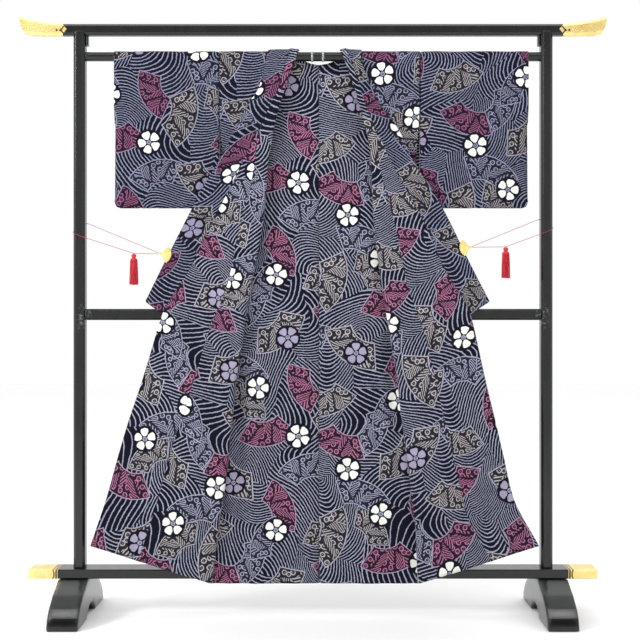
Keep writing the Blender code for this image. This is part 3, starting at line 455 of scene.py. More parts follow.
fronts = {
    # millimetres at levels from the shoulder to the hem
    "columns": (
        "side_down", "roll_down", "edge_down",
        "side_left", "roll_left", "edge_left",
        "side_right", "roll_right", "edge_right",
        "open", "lift", "overlap",
    ),
    "rows": (
        (0, 0, 0, 303, 60, 80, 307, 64, 78, 7, 6, 0),
        (40, 42, 42, 302, 73, 98, 305, 79, 96, 8, 6.5, 0),
        (130, 135, 133, 302, 106, 124, 305, 112, 126, 10, 8, 0),
        (180, 181, 181, 302, 121, 148, 305, 124, 142, 11.5, 9, 0),
        (250, 255, 254, 299, 138, 183, 302, 145, 175, 14, 10, 4),
        (350, 355, 349, 293, 153, 229, 296, 158, 217, 18, 12, 36),
        (475, 477, 444, 296, 163, 276, 299, 163, 268, 22, 17, 64),
        (590, 591, 547, 299, 178, 330, 302, 172, 322, 25, 21, 90),
        (732, 730, 664, 302, 205, 383, 303, 190, 373, 27, 24, 120),
        (917, 899, 811, 304, 231, 470, 305, 217, 454, 28, 25, 150),
        (1029, 1004, 914, 306, 247, 502, 304, 234, 479, 29, 23, 150),
        (1138, 1113, 1022, 307, 259, 535, 304, 247, 503, 30, 21, 150),
        (1247, 1225, 1130, 308, 269, 571, 304, 262, 529, 30, 20, 150),
        (1355, 1329, 1238, 311, 282, 603, 302, 275, 554, 28, 19, 150),
        (1472, 1449, 1358, 317, 300, 636, 301, 289, 582, 22, 18, 150),
        (1618, 1617, 1504, 322, 322, 685, 298, 297, 659, 14, 16, 150),
    ),
    "firstOverlapRow": 4,
    # where a front turns out: reach, and shares of the cloth under it and on it
    "roll": {"reach": 0.010, "under": 0.42, "out": 0.45, "underAt": 0.30, "underRise": 0.35},
    "folds": {
        # across from the roll, where it starts, depth, half width
        "left": ((0.120, 0.55, 0.0060, 0.040), (0.245, 0.85, 0.0045, 0.034)),
        "right": ((0.100, 0.50, 0.0055, 0.036), (0.215, 0.95, 0.0060, 0.034)),
    },
}

collar = {
    "columns": ("down", "left", "right", "lift"),
    "rows": (
        (0, 152, 128, 3.4),
        (42, 161, 133, 3.6),
        (130, 185, 158, 4),
        (176, 217, 186, 4.2),
        (250, 254, 241, 5),
        (343, 302, 285, 7),
        (435, 356, 344, 12),
        (530, 403, 394, 16),
        (648, 462, 450, 20),
        (772, 522, 513, 22),
    ),
    "endRow": 9,
}

backFolds = {
    # across from the middle, where it starts, depth, half width
    "left": (
        (0.075, 0.45, 0.0050, 0.034), (0.185, 0.60, 0.0075, 0.042), (0.270, 0.80, 0.0040, 0.026),
    ),
    "right": (
        (0.060, 0.70, 0.0045, 0.030), (0.150, 0.40, 0.0065, 0.040), (0.245, 0.75, 0.0060, 0.032),
    ),
}

sleeves = {
    "width": {"left": 0.319, "right": 0.329},
    "drop": 0.490,
    "corner": 0.024,
    "wrist": 0.230,
    "round": 0.030,
    "folds": {
        "left": ((0.070, 0.08, 0.0040, 0.030), (0.190, 0.14, 0.0030, 0.036)),
        "right": ((0.090, 0.06, 0.0035, 0.034), (0.230, 0.12, 0.0035, 0.030)),
    },
}

# creases in millimetres: from (across, down) to (across, down), half width,
# depth. A minus depth is a trough. They are uneven on purpose.
creases = {
    "back_left": (
        (30, 100, 52, 740, 10, 1.6), (118, 300, 98, 1120, 13, -1.7),
        (215, 120, 238, 550, 9, 1.3), (150, 880, 162, 1600, 14, 2.2),
        (248, 840, 226, 1640, 18, 5.6), (40, 1050, 28, 1600, 12, -1.5),
        (10, 620, 270, 635, 5, -0.7), (20, 1190, 290, 1175, 5, 0.6),
    ),
    "back_right": (
        (45, 80, 30, 580, 9, -1.4), (122, 220, 140, 950, 12, 1.8),
        (205, 340, 192, 900, 10, -1.3), (70, 920, 84, 1600, 13, 2),
        (216, 840, 246, 1640, 18, 5.6), (180, 900, 172, 1400, 11, 1.4),
        (15, 600, 280, 622, 5, -0.7), (10, 1170, 285, 1190, 5, 0.6),
    ),
    "front_left": (
        (60, 60, 85, 420, 10, 1.3), (150, 100, 132, 300, 8, -1.2),
        (215, 620, 226, 1250, 11, 1.8), (165, 1000, 150, 1580, 12, -1.8),
        (250, 1120, 262, 1600, 10, 1.7), (200, 360, 214, 620, 7, -1.1),
    ),
    "front_right": (
        (85, 50, 64, 360, 10, 1.2), (165, 120, 176, 340, 8, -1.2),
        (205, 560, 190, 1050, 10, -1.6), (185, 980, 196, 1580, 12, 1.9),
        (258, 900, 268, 1500, 11, -1.7), (225, 1200, 214, 1600, 9, 1.4),
    ),
    "okumi_left": (
        (48, 620, 64, 1200, 10, 1.7), (108, 860, 94, 1480, 11, -1.8),
        (30, 1180, 40, 1600, 9, 1.5), (126, 1160, 134, 1600, 8, 1.2),
    ),
    "okumi_right": (
        (60, 580, 46, 1100, 10, -1.6), (96, 800, 112, 1420, 11, 1.8),
        (40, 1220, 52, 1600, 9, -1.5), (120, 1280, 106, 1600, 8, 1.3),
    ),
    "collar_left": (
        (14, 300, 46, 400, 6, -0.8), (22, 600, 58, 820, 7, 0.9),
        (60, 880, 30, 1000, 6, -0.8),
    ),
    "collar_right": (
        (40, 260, 16, 380, 6, 0.8), (55, 560, 24, 760, 7, -0.9),
        (20, 860, 52, 980, 6, 0.8),
    ),
    "sleeve_left": (
        (18, 60, 92, 340, 10, -2.2), (10, 200, 70, 460, 9, 1.8),
        (150, 50, 172, 400, 12, 1.9), (236, 90, 222, 440, 11, -1.8),
        (284, 240, 190, 470, 10, 1.4), (50, -80, 90, -420, 12, 1.9),
        (170, -50, 150, -400, 12, -1.8), (262, -100, 250, -450, 11, 1.7),
    ),
    "sleeve_right": (
        (22, 50, 80, 300, 10, 2.1), (12, 240, 96, 470, 9, -1.9),
        (138, 80, 120, 420, 12, -1.8), (206, 40, 226, 360, 11, 2),
        (290, 220, 262, 460, 10, -1.4), (70, -60, 52, -400, 12, -1.9),
        (186, -80, 204, -440, 12, 1.8), (280, -120, 268, -400, 10, -1.5),
    ),
}


def smoothTable(xs, ys):
    # a smooth curve through a table which never overshoots it
    xs, ys = np.asarray(xs, float), np.asarray(ys, float)
    step = np.diff(xs)
    slope = np.diff(ys) / step
    tangent = np.zeros(len(xs))
    tangent[0], tangent[-1] = slope[0], slope[-1]
    for i in range(1, len(xs) - 1):
        if slope[i - 1] * slope[i] > 0:
            tangent[i] = 2 / (1 / slope[i - 1] + 1 / slope[i])

    def at(x):
        x = min(max(x, xs[0]), xs[-1])
        i = min(int(np.searchsorted(xs, x, side="right")) - 1, len(step) - 1)
        t = (x - xs[i]) / step[i]
        start = (1 + 2 * t) * (1 - t) ** 2 * ys[i] + t * (1 - t) ** 2 * step[i] * tangent[i]
        end = t * t * (3 - 2 * t) * ys[i + 1] + t * t * (t - 1) * step[i] * tangent[i + 1]
        return float(start + end)

    return at


def columnCurves(table):
    # a smooth curve down each column, by the column's name
    places, columns = range(len(table["rows"])), np.array(table["rows"]).T / 1000
    return {name: smoothTable(places, part) for name, part in zip(table["columns"], columns)}


layerDown, *layerDepths = np.array(hung["layers"]).T / 1000
backLayer, frontLayer = (smoothTable(layerDown, depths) for depths in layerDepths)
frontAt = columnCurves(fronts)
collarAt = columnCurves(collar)
seamPlaces = dict(zip(fronts["columns"], np.array(fronts["rows"]).T / 1000))
# from the middle of the robe to the side seam, at a distance down the cloth
sideAt = {
    side: smoothTable(seamPlaces["side_down"], seamPlaces["side_" + side]) for side in sides
}


def ease(value, start, end):
    t = min(max((value - start) / (end - start), 0.0), 1.0)
    return t * t * (3 - 2 * t)


def hang(side, across, down, rise, facing="front"):
    # over the bar first, then straight down; rise is outward of that layer
    outward = -1 if facing == "front" else 1
    x = hung["robeCentre"] + sides[side] * across
    if down < quarterTurn:
        turn = down / hung["drape"]
        reach = hung["drape"] + rise
        return (x, outward * reach * math.sin(turn), hung["barHeight"] + reach * math.cos(turn))
    layer = frontLayer if facing == "front" else backLayer
    return (x, -layer(down) + outward * rise, hung["barHeight"] + quarterTurn - down)


def foldRise(folds, across, down):
    rise = 0.0
    for place, start, depth, width in folds:
        grown = ease(down, start, start + 0.55)
        rise += depth * grown * math.exp(-(((across - place) / width) ** 2))
    return rise


def roundOff(points, times):
    points = np.array(points)
    for _ in range(times):
        first, second = points[:-1], points[1:]
        cut = np.empty((2 * len(first), 3))
        cut[0::2] = first * 0.75 + second * 0.25
        cut[1::2] = first * 0.25 + second * 0.75
        points = np.vstack([points[:1], cut, points[-1:]])
    return points


def frontCurve(side, row):
    # one level of a front: from the side seam in to the roll and out again
    at = {name: curve(row) for name, curve in frontAt.items()}
    sideDown, rollDown, edgeDown = at["side_down"], at["roll_down"], at["edge_down"]
    seam, roll, edge = (at[part + "_" + side] for part in ("side", "roll", "edge"))
    opening, lift, bend = at["open"], at["lift"], fronts["roll"]
    under = seam - roll
    inner = seam - bend["underAt"] * under
    corner = roll + min(bend["under"] * under, opening / 2 + bend["reach"])
    out = min(opening / 2 + bend["reach"], bend["out"] * (edge - roll))
    sewn = ease(sideDown, hung["armhole"] + 0.03, hung["seamStart"])
    rise = sewn * (backLayer(sideDown) + hung["seamStep"] - frontLayer(sideDown))

    def downAt(across):
        return sideDown + (rollDown - sideDown) * (seam - across) / max(under, 0.001)

    controls = [
        (seam, sideDown, rise),
        (inner, downAt(inner), bend["underRise"] * rise + 0.03 * opening),
        (corner, downAt(corner), 0.07 * opening),
        (roll, rollDown, 0.14 * opening),
        (roll, rollDown, opening),
        (roll + out, rollDown + (edgeDown - rollDown) * 0.04, opening),
    ]
    for part in (0.25, 0.5, 0.75):
        across = roll + out + (edge - roll - out) * part
        down = rollDown + (edgeDown - rollDown) * (0.04 + 0.96 * part)
        fold = foldRise(fronts["folds"][side], across - roll, down)
        controls.append((across, down, opening + (lift - opening) * part + fold))
    controls.append((edge, edgeDown, lift))
    return np.array([hang(side, *point) for point in roundOff(controls, 4)])


def lengthsAlong(curve):
    return np.concatenate([[0.0], np.cumsum(np.linalg.norm(np.diff(curve, axis=0), axis=1))])


def sliceCurve(curve, start, end, count, bendWeight=0.10):
    # points from start to end, closer where it bends, and how far along they lie
    along = lengthsAlong(curve)

    def at(stations):
        return np.column_stack([np.interp(stations, along, curve[:, axis]) for axis in range(3)])

    stations = np.linspace(start, end, 320)
    step = np.diff(at(stations), axis=0)
    size = np.linalg.norm(step, axis=1)
    heading = step / np.maximum(size, 1e-9)[:, None]
    turn = np.arccos(np.clip((heading[1:] * heading[:-1]).sum(axis=1), -1, 1))
    weight = size + bendWeight * np.concatenate([[0.0], turn]) / math.pi
    total = np.concatenate([[0.0], np.cumsum(weight)])
    chosen = np.interp(np.linspace(0, total[-1], count), total, stations)
    return at(chosen), chosen


def creaseHeight(name, across, down):
    # across and down are grids; every crease fades in and out along its line
    height = np.zeros_like(across)
    for u0, v0, u1, v1, width, depth in np.array(creases[name]) / 1000:
        du, dv = u1 - u0, v1 - v0
        along = ((across - u0) * du + (down - v0) * dv) / (du * du + dv * dv)
        bend = 0.35 * width * np.sin(along * 5.0 + u0 * 40)
        off = ((across - u0) * dv - (down - v0) * du) / math.hypot(du, dv) + bend
        fade = np.clip(np.sin(np.clip(along, 0, 1) * math.pi), 0, 1) ** 0.6
        height += clothLook["creaseDepth"] * depth * fade * np.exp(-((off / width) ** 2))
    slow = np.sin(across * 41 + 3 * np.sin(down * 4.1)) * np.sin(down * 6.3 + across * 9)
    quick = np.sin(across * 97 + down * 13) * np.sin(down * 29 - across * 31)
    return height + clothLook["slowWave"] * slow + clothLook["quickWave"] * quick


# each piece as it was cut: flat size, area, how it hangs, where its print
# starts, and the side on which the print is mirrored and the grid turned over
clothCut = {
    "back": {
        "flat": (0.31, 1.64), "area": {"left": 0.496, "right": 0.493},
        "held": "hung", "restsOn": ["hanging_bar"], "slot": "cotton_outside",
        "shift": {"left": (0.01, 0.0), "right": (0.01, 0.39)},
        "mirrored": "left", "turned": "right",
    },
    "front": {
        "flat": (0.37, 1.70), "area": {"left": 0.344, "right": 0.326},
        "held": "hung", "restsOn": ["hanging_bar"], "slot": "cotton_inside",
        "shift": {"left": (0.02, 0.31), "right": (0.21, 0.05)},
        "mirrored": "right", "turned": "right",
    },
    "okumi": {
        "flat": (0.16, 1.42), "area": {"left": 0.163, "right": 0.162},
        "held": "hung", "restsOn": [], "slot": "cotton_inside",
        "shift": {"left": (0.11, 0.52), "right": (0.06, 0.20)},
        "mirrored": "right", "turned": "right",
    },
    "collar": {
        "flat": (0.085, 1.10), "area": {"left": 0.073, "right": 0.064},
        "held": "folded", "restsOn": ["hanging_bar"], "slot": "cotton_outside",
        "shift": {"left": (0.24, 0.10), "right": (0.02, 0.47)},
        "mirrored": None, "turned": "left",
    },
    "sleeve": {
        "flat": (0.335, 0.99), "area": {"left": 0.317, "right": 0.328},
        "held": "hung", "restsOn": ["hanging_bar"], "slot": "cotton_outside",
        "shift": {"left": (0.16, 0.12), "right": (0.30, 0.60)},
        "mirrored": "left", "turned": "right",
    },
}

clothLook = {
    "thickness": 0.0010,
    "collarThickness": 0.0021,
    "collarFullness": 0.0009,
    "creaseDepth": 1.9,
    "creaseFree": 0.02,  # creases fade out this near a seam
    "slowWave": 0.0007,
    "quickWave": 0.00035,
    "pucker": 0.0032,
    "puckerWidth": 0.006,
    "puckerSpacing": 0.011,
    "centreGroove": 0.0068,
    "free": 0.03,  # a free edge counts as this far from a seam
    "threads": 1250,
    "slubs": 900,
    "grain": 520,
    "unevenDye": 14,
    # points across each piece
    "frontColumns": 76, "okumiColumns": 26, "collarColumns": 17, "backColumns": 46,
}


def addCloth(piece, side, finishes, grid, across, down, sewn, centreSeam=None):
    # grids of places, of metres across and down, and of metres from a seam
    look, cut, name = clothLook, clothCut[piece], piece + "_" + side
    grid, across, down, sewn = (np.asarray(part) for part in (grid, across, down, sewn))
    normal = np.cross(np.gradient(grid, axis=0), np.gradient(grid, axis=1))
    normal /= np.maximum(np.linalg.norm(normal, axis=2, keepdims=True), 1e-12)
    if cut["turned"] == side:
        normal = -normal  # now outward on both sides of the robe, so that seams meet
    near = np.clip(sewn / look["creaseFree"], 0, 1)
    height = creaseHeight(name, across, down) * near * near * (3 - 2 * near)
    turns = down * 2 * math.pi / look["puckerSpacing"]
    puckers = 0.5 + 0.5 * np.sin(turns + 2 * np.sin(down * 60))
    seam = np.exp(-((sewn / look["puckerWidth"]) ** 2))
    height -= look["pucker"] * seam * (0.75 + 0.25 * puckers)
    if centreSeam is not None:
        fromSeam = np.asarray(centreSeam) / look["puckerWidth"]
        height += look["centreGroove"] * np.exp(-(fromSeam**2))
    grid = grid + normal * height[:, :, None]
    index = np.arange(across.size).reshape(across.shape)
    faces = np.stack([index[:-1, :-1], index[1:, :-1], index[1:, 1:], index[:-1, 1:]], axis=-1)
    faces = faces.reshape(-1, 4)
    if cut["turned"] == side:
        faces = faces[:, ::-1]
    obj = addMesh(name + "_cloth", grid.reshape(-1, 3), faces.tolist(), *finishes)
    mesh = obj.data
    u = (across * (-1 if cut["mirrored"] == side else 1) + cut["shift"][side][0]).reshape(-1)
    v = (down + cut["shift"][side][1]).reshape(-1)
    layer = mesh.uv_layers.new(name="clothPlace")
    corners = np.empty(len(mesh.loops), np.int32)
    mesh.loops.foreach_get("vertex_index", corners)
    layer.data.foreach_set("uv", np.column_stack([u[corners], v[corners]]).reshape(-1))
    solid = obj.modifiers.new("clothThickness", "SOLIDIFY")
    solid.thickness = look["collarThickness" if piece == "collar" else "thickness"]
    solid.offset = 0.0
    solid.material_offset = 1
    solid.material_offset_rim = 0
    standFor(obj, name)


def rowLevels(start, end, spacing=0.008):
    # table rows cut into steps of about one spacing down the cloth
    levels = [float(start)]
    for row in range(start, end):
        reach = frontAt["side_down"](row + 1) - frontAt["side_down"](row)
        steps = max(2, round(reach / (spacing if row else spacing / 2)))
        levels += [row + (i + 1) / steps for i in range(steps)]
    return levels


def addFront(side, finishes):
    rows = []
    for row in rowLevels(0, len(fronts["rows"]) - 1):
        curve, level = frontCurve(side, row), frontAt["side_down"](row)
        overlap = frontAt["overlap"](row)
        end = lengthsAlong(curve)[-1] - overlap - (hung["seamGap"] / 2 if overlap > 0 else 0.0)
        points, along = sliceCurve(curve, 0.0, end, clothLook["frontColumns"])
        fromSide = along + (0 if level > hung["seamStart"] else clothLook["free"])
        sewn = np.minimum(fromSide, end - along)
        rows.append((points, along, np.full_like(along, level), sewn))
    addCloth("front", side, finishes, *zip(*rows))


def addOverlap(side, finishes):
    rows = []
    for row in rowLevels(fronts["firstOverlapRow"], len(fronts["rows"]) - 1):
        curve, level = frontCurve(side, row), frontAt["side_down"](row)
        whole = lengthsAlong(curve)[-1]
        start = whole - frontAt["overlap"](row) + hung["seamGap"] / 2
        points, along = sliceCurve(curve, start, whole, clothLook["okumiColumns"], 0.0)
        fromEdge = whole - along + (clothLook["free"] if row > collar["endRow"] else 0.0)
        sewn = np.minimum(along - start, fromEdge)
        rows.append((points, along - start, np.full_like(along, level), sewn))
    addCloth("okumi", side, finishes, *zip(*rows))


def collarEnds(side, row):
    seam = (frontAt["edge_" + side](row), frontAt["edge_down"](row), frontAt["lift"](row))
    free = (collarAt[side](row), collarAt["down"](row), collarAt["lift"](row))
    return np.array(seam), np.array(free)


def addCollar(side, finishes):
    strips = [(*collarEnds(side, row), "front") for row in rowLevels(0, collar["endRow"])[::-1]]
    neck, wide, lift = frontAt["edge_" + side](0), collarAt[side](0), frontAt["lift"](0)
    drop, rise = hung["neckDrop"], hung["collarRise"]
    for turn in np.concatenate([np.linspace(0.012, 0.20, 16), np.linspace(0.225, 1, 26)]):
        aside, back = math.cos(turn * math.pi / 2), math.sin(turn * math.pi / 2)
        seam = (neck * aside, drop * back, lift + (rise - lift) * turn)
        free = (wide * aside, (drop + hung["collarBackWidth"]) * back, rise)
        strips.append((np.array(seam), np.array(free), "back"))
    parts = np.linspace(0, 1, clothLook["collarColumns"])
    # a doubled collar is a little fuller between its seam and its fold
    full = clothLook["collarFullness"] * np.sin(parts * math.pi) ** 0.7
    grid, across = [], []
    for seam, free, facing in strips:
        width = np.linalg.norm(free - seam)
        seam = seam + (free - seam) / width * 0.0003
        line = [seam + (free - seam) * p + np.array((0, 0, f)) for p, f in zip(parts, full)]
        grid.append([hang(side, *place, facing) for place in line])
        across.append(parts * width)
    travel = lengthsAlong(np.array(grid)[:, len(parts) // 2])
    down = np.repeat((travel[-1] - travel)[:, None], len(parts), axis=1)
    addCloth("collar", side, finishes, grid, across, down, across)


def addBack(side, finishes):
    drop, free, columns = hung["neckDrop"], clothLook["free"], clothLook["backColumns"]
    neck, first = frontAt["roll_" + side](0) + 0.004, sideAt[side](0)
    downs = [
        *np.linspace(0.0002, quarterTurn, 12),
        *np.linspace(quarterTurn + 0.002, drop, 12),
        *np.linspace(drop + 0.006, hung["robeLength"], 196),
    ]
    rows = []
    for level in downs:
        share = min(level / drop, 1.0)
        inner = neck * math.sqrt(1 - share * share) + hung["seamGap"] / 2
        narrowed = ease(level, hung["backWideTo"], hung["backNarrowBy"])
        outer = first + (sideAt[side](level) - first) * narrowed
        line = inner + (outer - inner) * np.linspace(0, 1, columns)
        rises = [-foldRise(backFolds[side], a, level) * ease(outer - a, 0.0, 0.05) for a in line]
        points = [hang(side, a, level, rise, "back") for a, rise in zip(line, rises)]
        fromCentre = line - inner + (0.0 if share == 1 else free)
        fromSide = outer - line + (free if hung["armhole"] < level < hung["seamStart"] else 0)
        sewn = np.minimum(fromCentre, fromSide)
        rows.append((points, line, np.full_like(line, level), sewn, fromCentre))
    addCloth("back", side, finishes, *zip(*rows))


def roundedEdge(gap):
    # the share of a sleeve's depth that is left this near a closed edge
    near = min(max(gap / sleeves["round"], 0.0), 1.0)
    return math.sqrt(1 - (1 - near) ** 2)


def sleevePoint(side, across, part, facing):
    # a place on the sleeve, and how far down the cloth it lies
    look, width = sleeves, sleeves["width"][side]
    armhole = sideAt[side](0) + 0.0002
    past = max(across - (width - look["corner"]), 0.0)
    bottom = look["drop"] - look["corner"] + math.sqrt(max(look["corner"] ** 2 - past**2, 0.0))
    down = bottom * part
    x, y, z = hang(side, armhole + across, down, 0.0, facing)
    if down < quarterTurn:
        return (x, y, z), down
    folds = foldRise(look["folds"][side], across, down) if facing == "front" else 0.0
    middle = -(frontLayer(down) + backLayer(down)) / 2
    closed = ease(down, look["wrist"] * 0.72, look["wrist"])
    kept = roundedEdge(bottom - down) * (1 - closed * (1 - roundedEdge(width - across)))
    return (x, middle + (y - middle - folds) * kept, z), down


def addSleeve(side, finishes):
    width, bend = sleeves["width"][side], quarterTurn / sleeves["drop"]
    quarter = math.pi / 2
    # points lie closer toward the wrist's edge and the bottom
    wide = [*np.linspace(0, 0.90, 42), *(0.90 + 0.10 * np.sin(np.linspace(0, quarter, 13)[1:]))]
    parts = [*np.linspace(0, bend, 9), *np.linspace(bend, 0.93, 54)[1:]]
    parts += [*(0.93 + 0.07 * np.sin(np.linspace(0, quarter, 12)[1:]))]
    # up the back, over the fold and down the front
    way = [("back", part) for part in parts[:0:-1]] + [("front", part) for part in parts]
    signs = np.array([-1 if facing == "back" else 1 for facing, _ in way])
    rows = []
    for across in np.array(wide) * width:
        points, reach = zip(*(sleevePoint(side, across, part, facing) for facing, part in way))
        reach = np.array(reach)
        edgeGap = np.where(reach > sleeves["wrist"], width - across, clothLook["free"])
        sewn = np.minimum(np.minimum(sleeves["drop"] - reach, edgeGap), across)
        rows.append((points, np.full_like(reach, across), reach * signs, sewn))
    addCloth("sleeve", side, finishes, *zip(*rows))


# the resist-dyed print: water lines, fan papers and five-petal blossoms
printLook = {
    "tile": (0.37, 0.77),
    "wanderScale": 95,  # hand-cut stencil edges wander a little
    "wander": 0.0042,
    "lineWidth": 0.0031,
    "probe": 0.0006,  # how far apart the water's slope is measured
    "swell": 1.30,
    "currentScale": 4.2,
    "currentReach": 0.13,
    "patchScale": 6.2,
    "arcAway": 0.115,
    "fewestLines": 84,  # lines in a metre
    "mostLines": 122,
    "fanInner": 0.060,
    "fanOuter": 0.135,
    "fanSpread": math.radians(41),
    "fanBorder": 0.0030,
    "fanGutter": 0.0052,
    "sprigsAround": 19.0,
    "sprigSlant": 7.0,
    "sprigWidth": 1 / 20.2,
    "bladeSlant": 1.2,
    "blades": 104.0,  # in a metre
    "budScale": 52,
    "budRing": 0.31,
    # in shares of a blossom's radius
    "petalMiddle": 0.635,
    "petalHalf": 0.365,
    "petalWaist": 0.112,
    "petalWidening": 0.36,
    "petalSquareness": 2.5,
    "blossomRing": 0.155,
    # across, down, turn in degrees, size, kind: 0 plum, 1 taupe, 2 lavender
    "fans": (
        (0.180, 0.012, 66, 0.90, 2), (0.070, 0.055, -24, 1.00, 0), (0.262, 0.098, 38, 1.06, 1),
        (0.142, 0.200, 158, 1.02, 2), (0.326, 0.262, -66, 0.94, 0), (0.052, 0.330, 74, 1.10, 1),
        (0.222, 0.402, 8, 1.02, 0), (0.170, 0.300, 128, 0.86, 1), (0.338, 0.498, 196, 0.96, 2),
        (0.108, 0.535, -38, 1.12, 1), (0.268, 0.618, 112, 0.98, 0), (0.040, 0.698, 18, 0.98, 1),
        (0.215, 0.715, -120, 0.86, 2),
    ),
    # across, down, turn in degrees, radius, kind: 0 white, 1 lavender
    "blossoms": (
        (0.098, 0.128, 10, 0.0335, 0), (0.286, 0.110, 40, 0.0315, 1),
        (0.196, 0.262, -20, 0.0320, 0), (0.318, 0.408, 24, 0.0335, 0),
        (0.122, 0.548, 0, 0.0315, 1), (0.250, 0.690, -12, 0.0325, 0),
    ),
}

clothColours = {
    "outside": {
        "ground": (9, 9, 27), "line": (142, 147, 174), "white": (248, 248, 243),
        "plum": (150, 90, 126), "taupe": (164, 158, 161), "lavender": (146, 147, 174),
    },
    "inside": {
        "ground": (11, 11, 30), "line": (166, 169, 191), "white": (255, 255, 248),
        "plum": (182, 116, 150), "taupe": (184, 178, 181), "lavender": (168, 169, 194),
    },
}


def newGroup(name, outputs):
    # a node group that takes a place on the cloth
    group = bpy.data.node_groups.new(name, "ShaderNodeTree")
    group.interface.new_socket("Place", in_out="INPUT", socket_type="NodeSocketVector")
    for output, kind in outputs.items():
        group.interface.new_socket(output, in_out="OUTPUT", socket_type="NodeSocket" + kind)
    graph = Graph(group)
    return graph, graph.add("NodeGroupInput")


def waterHeight():
    # one number whose level lines are the flowing water lines
    look = printLook
    graph, place = newGroup("waterHeight", {"Height": "Float"})
    # slow currents bend everything
    current = graph.noise(place, look["currentScale"], 0.0, 0.4, "2D", 1)
    bent = graph.stray(place, current, look["currentReach"])
    # each patch of cloth has arcs round a point of its own, outside the patch
    patch = graph.cells(bent, look["patchScale"], 0.9)
    chance = graph.vector("SUBTRACT", patch["Color"], (0.5, 0.5, 0.5))
    chance = graph.vector("NORMALIZE", graph.vector("MULTIPLY", chance, (1, 1, 0)))
    away = look["arcAway"]
    centre = graph.vector("MULTIPLY_ADD", chance, (away, away, 0), patch["Position"])
    offset = graph.vector("MULTIPLY", graph.vector("SUBTRACT", bent, centre), (1, 1, 0))
    share = graph.split(patch["Color"])[2]
    often = graph.smooth(share, 0.1, 0.95, look["fewestLines"], look["mostLines"])
    graph.node("NodeGroupOutput", [graph.times(graph.length(offset), often)])
    return graph.tree


def waterLines(graph, place):
    # lines of even width, however close they run
    look, step, water = printLook, printLook["probe"], waterHeight()
    here, right, below = (
        graph.use(water, graph.vector("ADD", place, move))[0]
        for move in ((0, 0, 0), (step, 0, 0), (0, step, 0))
    )
    slope = graph.add("ShaderNodeCombineXYZ", (graph.minus(right, here), graph.minus(below, here)))
    steep = graph.math("MAXIMUM", graph.length(slope), 0.004)
    phase = graph.fromMiddle(here)
    fromLine = graph.times(graph.math("DIVIDE", phase, steep), step)
    # in places the lines swell until they almost meet
    swell = graph.noise(graph.vector("ADD", place, (2.2, 7.4, 0)), 7.5, 0.0, 0.4, "2D")
    swell = graph.smooth(swell, 0.58, 0.76, 1.0, look["swell"])
    fromLine = graph.math("DIVIDE", fromLine, swell)
    lines = graph.smooth(fromLine, look["lineWidth"] * 0.66, look["lineWidth"] * 0.36)
    # the dark gaps never close up
    return graph.math("MINIMUM", lines, graph.smooth(phase, 0.205, 0.105))


def topmost(graph, place, motifs, holds, kind):
    # which motif lies on top at each point, and the place within that motif
    wide, tall = printLook["tile"]
    chosen = (9.0, 9.0, 0.0)
    for across, down, turn, size, which in motifs:
        offset = graph.vector("SUBTRACT", place, (across, down, 0))
        offset = graph.vector("WRAP", offset, (wide / 2, tall / 2, 1), (-wide / 2, -tall / 2, -1))
        turned = {"Vector": offset, "Angle": math.radians(turn)}
        offset = graph.add("ShaderNodeVectorRotate", turned, rotation_type="Z_AXIS")
        offset = graph.vector("MULTIPLY", offset, (1 / size, 1 / size, 0))
        held = holds(offset)
        chosen = graph.mixVector(held, chosen, offset)
        kind = graph.mixNumber(held, kind, float(which))
    return chosen, kind


def fanShape():
    # how far inside the fan paper a point is, with the fan's apex below it
    look = printLook
    outputs = {"Inside": "Float", "Around": "Float", "Out": "Float"}
    graph, place = newGroup("fanPaperShape", outputs)
    middle = (look["fanInner"] + look["fanOuter"]) / 2
    fromApex = graph.vector("ADD", place, (0, middle, 0))
    x, y, _ = graph.split(fromApex)
    out = graph.length(fromApex)
    angle = graph.math("ARCTAN2", x, y)
    sideways = graph.minus(look["fanSpread"], graph.math("ABSOLUTE", angle))
    inner, outer = graph.minus(out, look["fanInner"]), graph.minus(look["fanOuter"], out)
    inside = graph.math("MINIMUM", graph.math("MINIMUM", inner, outer), graph.times(sideways, out))
    graph.node("NodeGroupOutput", [inside, graph.times(angle, middle), out])
    return graph.tree


def fanDrawing(graph, place, around, out):
    # leafy sprigs: a stem with slanted blades, repeated round the fan
    look = printLook
    slanted = graph.times(out, look["sprigSlant"])
    across = graph.math("MULTIPLY_ADD", around, look["sprigsAround"], slanted)
    fromStem = graph.times(graph.fromMiddle(across), look["sprigWidth"])
    along = graph.math("MULTIPLY_ADD", fromStem, -look["bladeSlant"], out)
    blades = graph.smooth(graph.fromMiddle(graph.times(along, look["blades"])), 0.255, 0.175)
    blades = graph.times(blades, graph.smooth(fromStem, 0.0225, 0.0205))
    blades = graph.times(blades, graph.smooth(fromStem, 0.0020, 0.0032))
    sprig = graph.math("MAXIMUM", blades, graph.smooth(fromStem, 0.0017, 0.0009))
    # round buds on the rest
    fromBud = graph.cells(place, look["budScale"], 0.45)["Distance"]
    buds = graph.smooth(graph.apart(fromBud, look["budRing"]), 0.105, 0.055)
    buds = graph.math("MAXIMUM", buds, graph.smooth(fromBud, 0.07, 0.03))
    patch = graph.smooth(graph.noise(place, 19, 0, 0.5, "2D"), 0.50, 0.52)
    return graph.mixNumber(patch, sprig, buds)


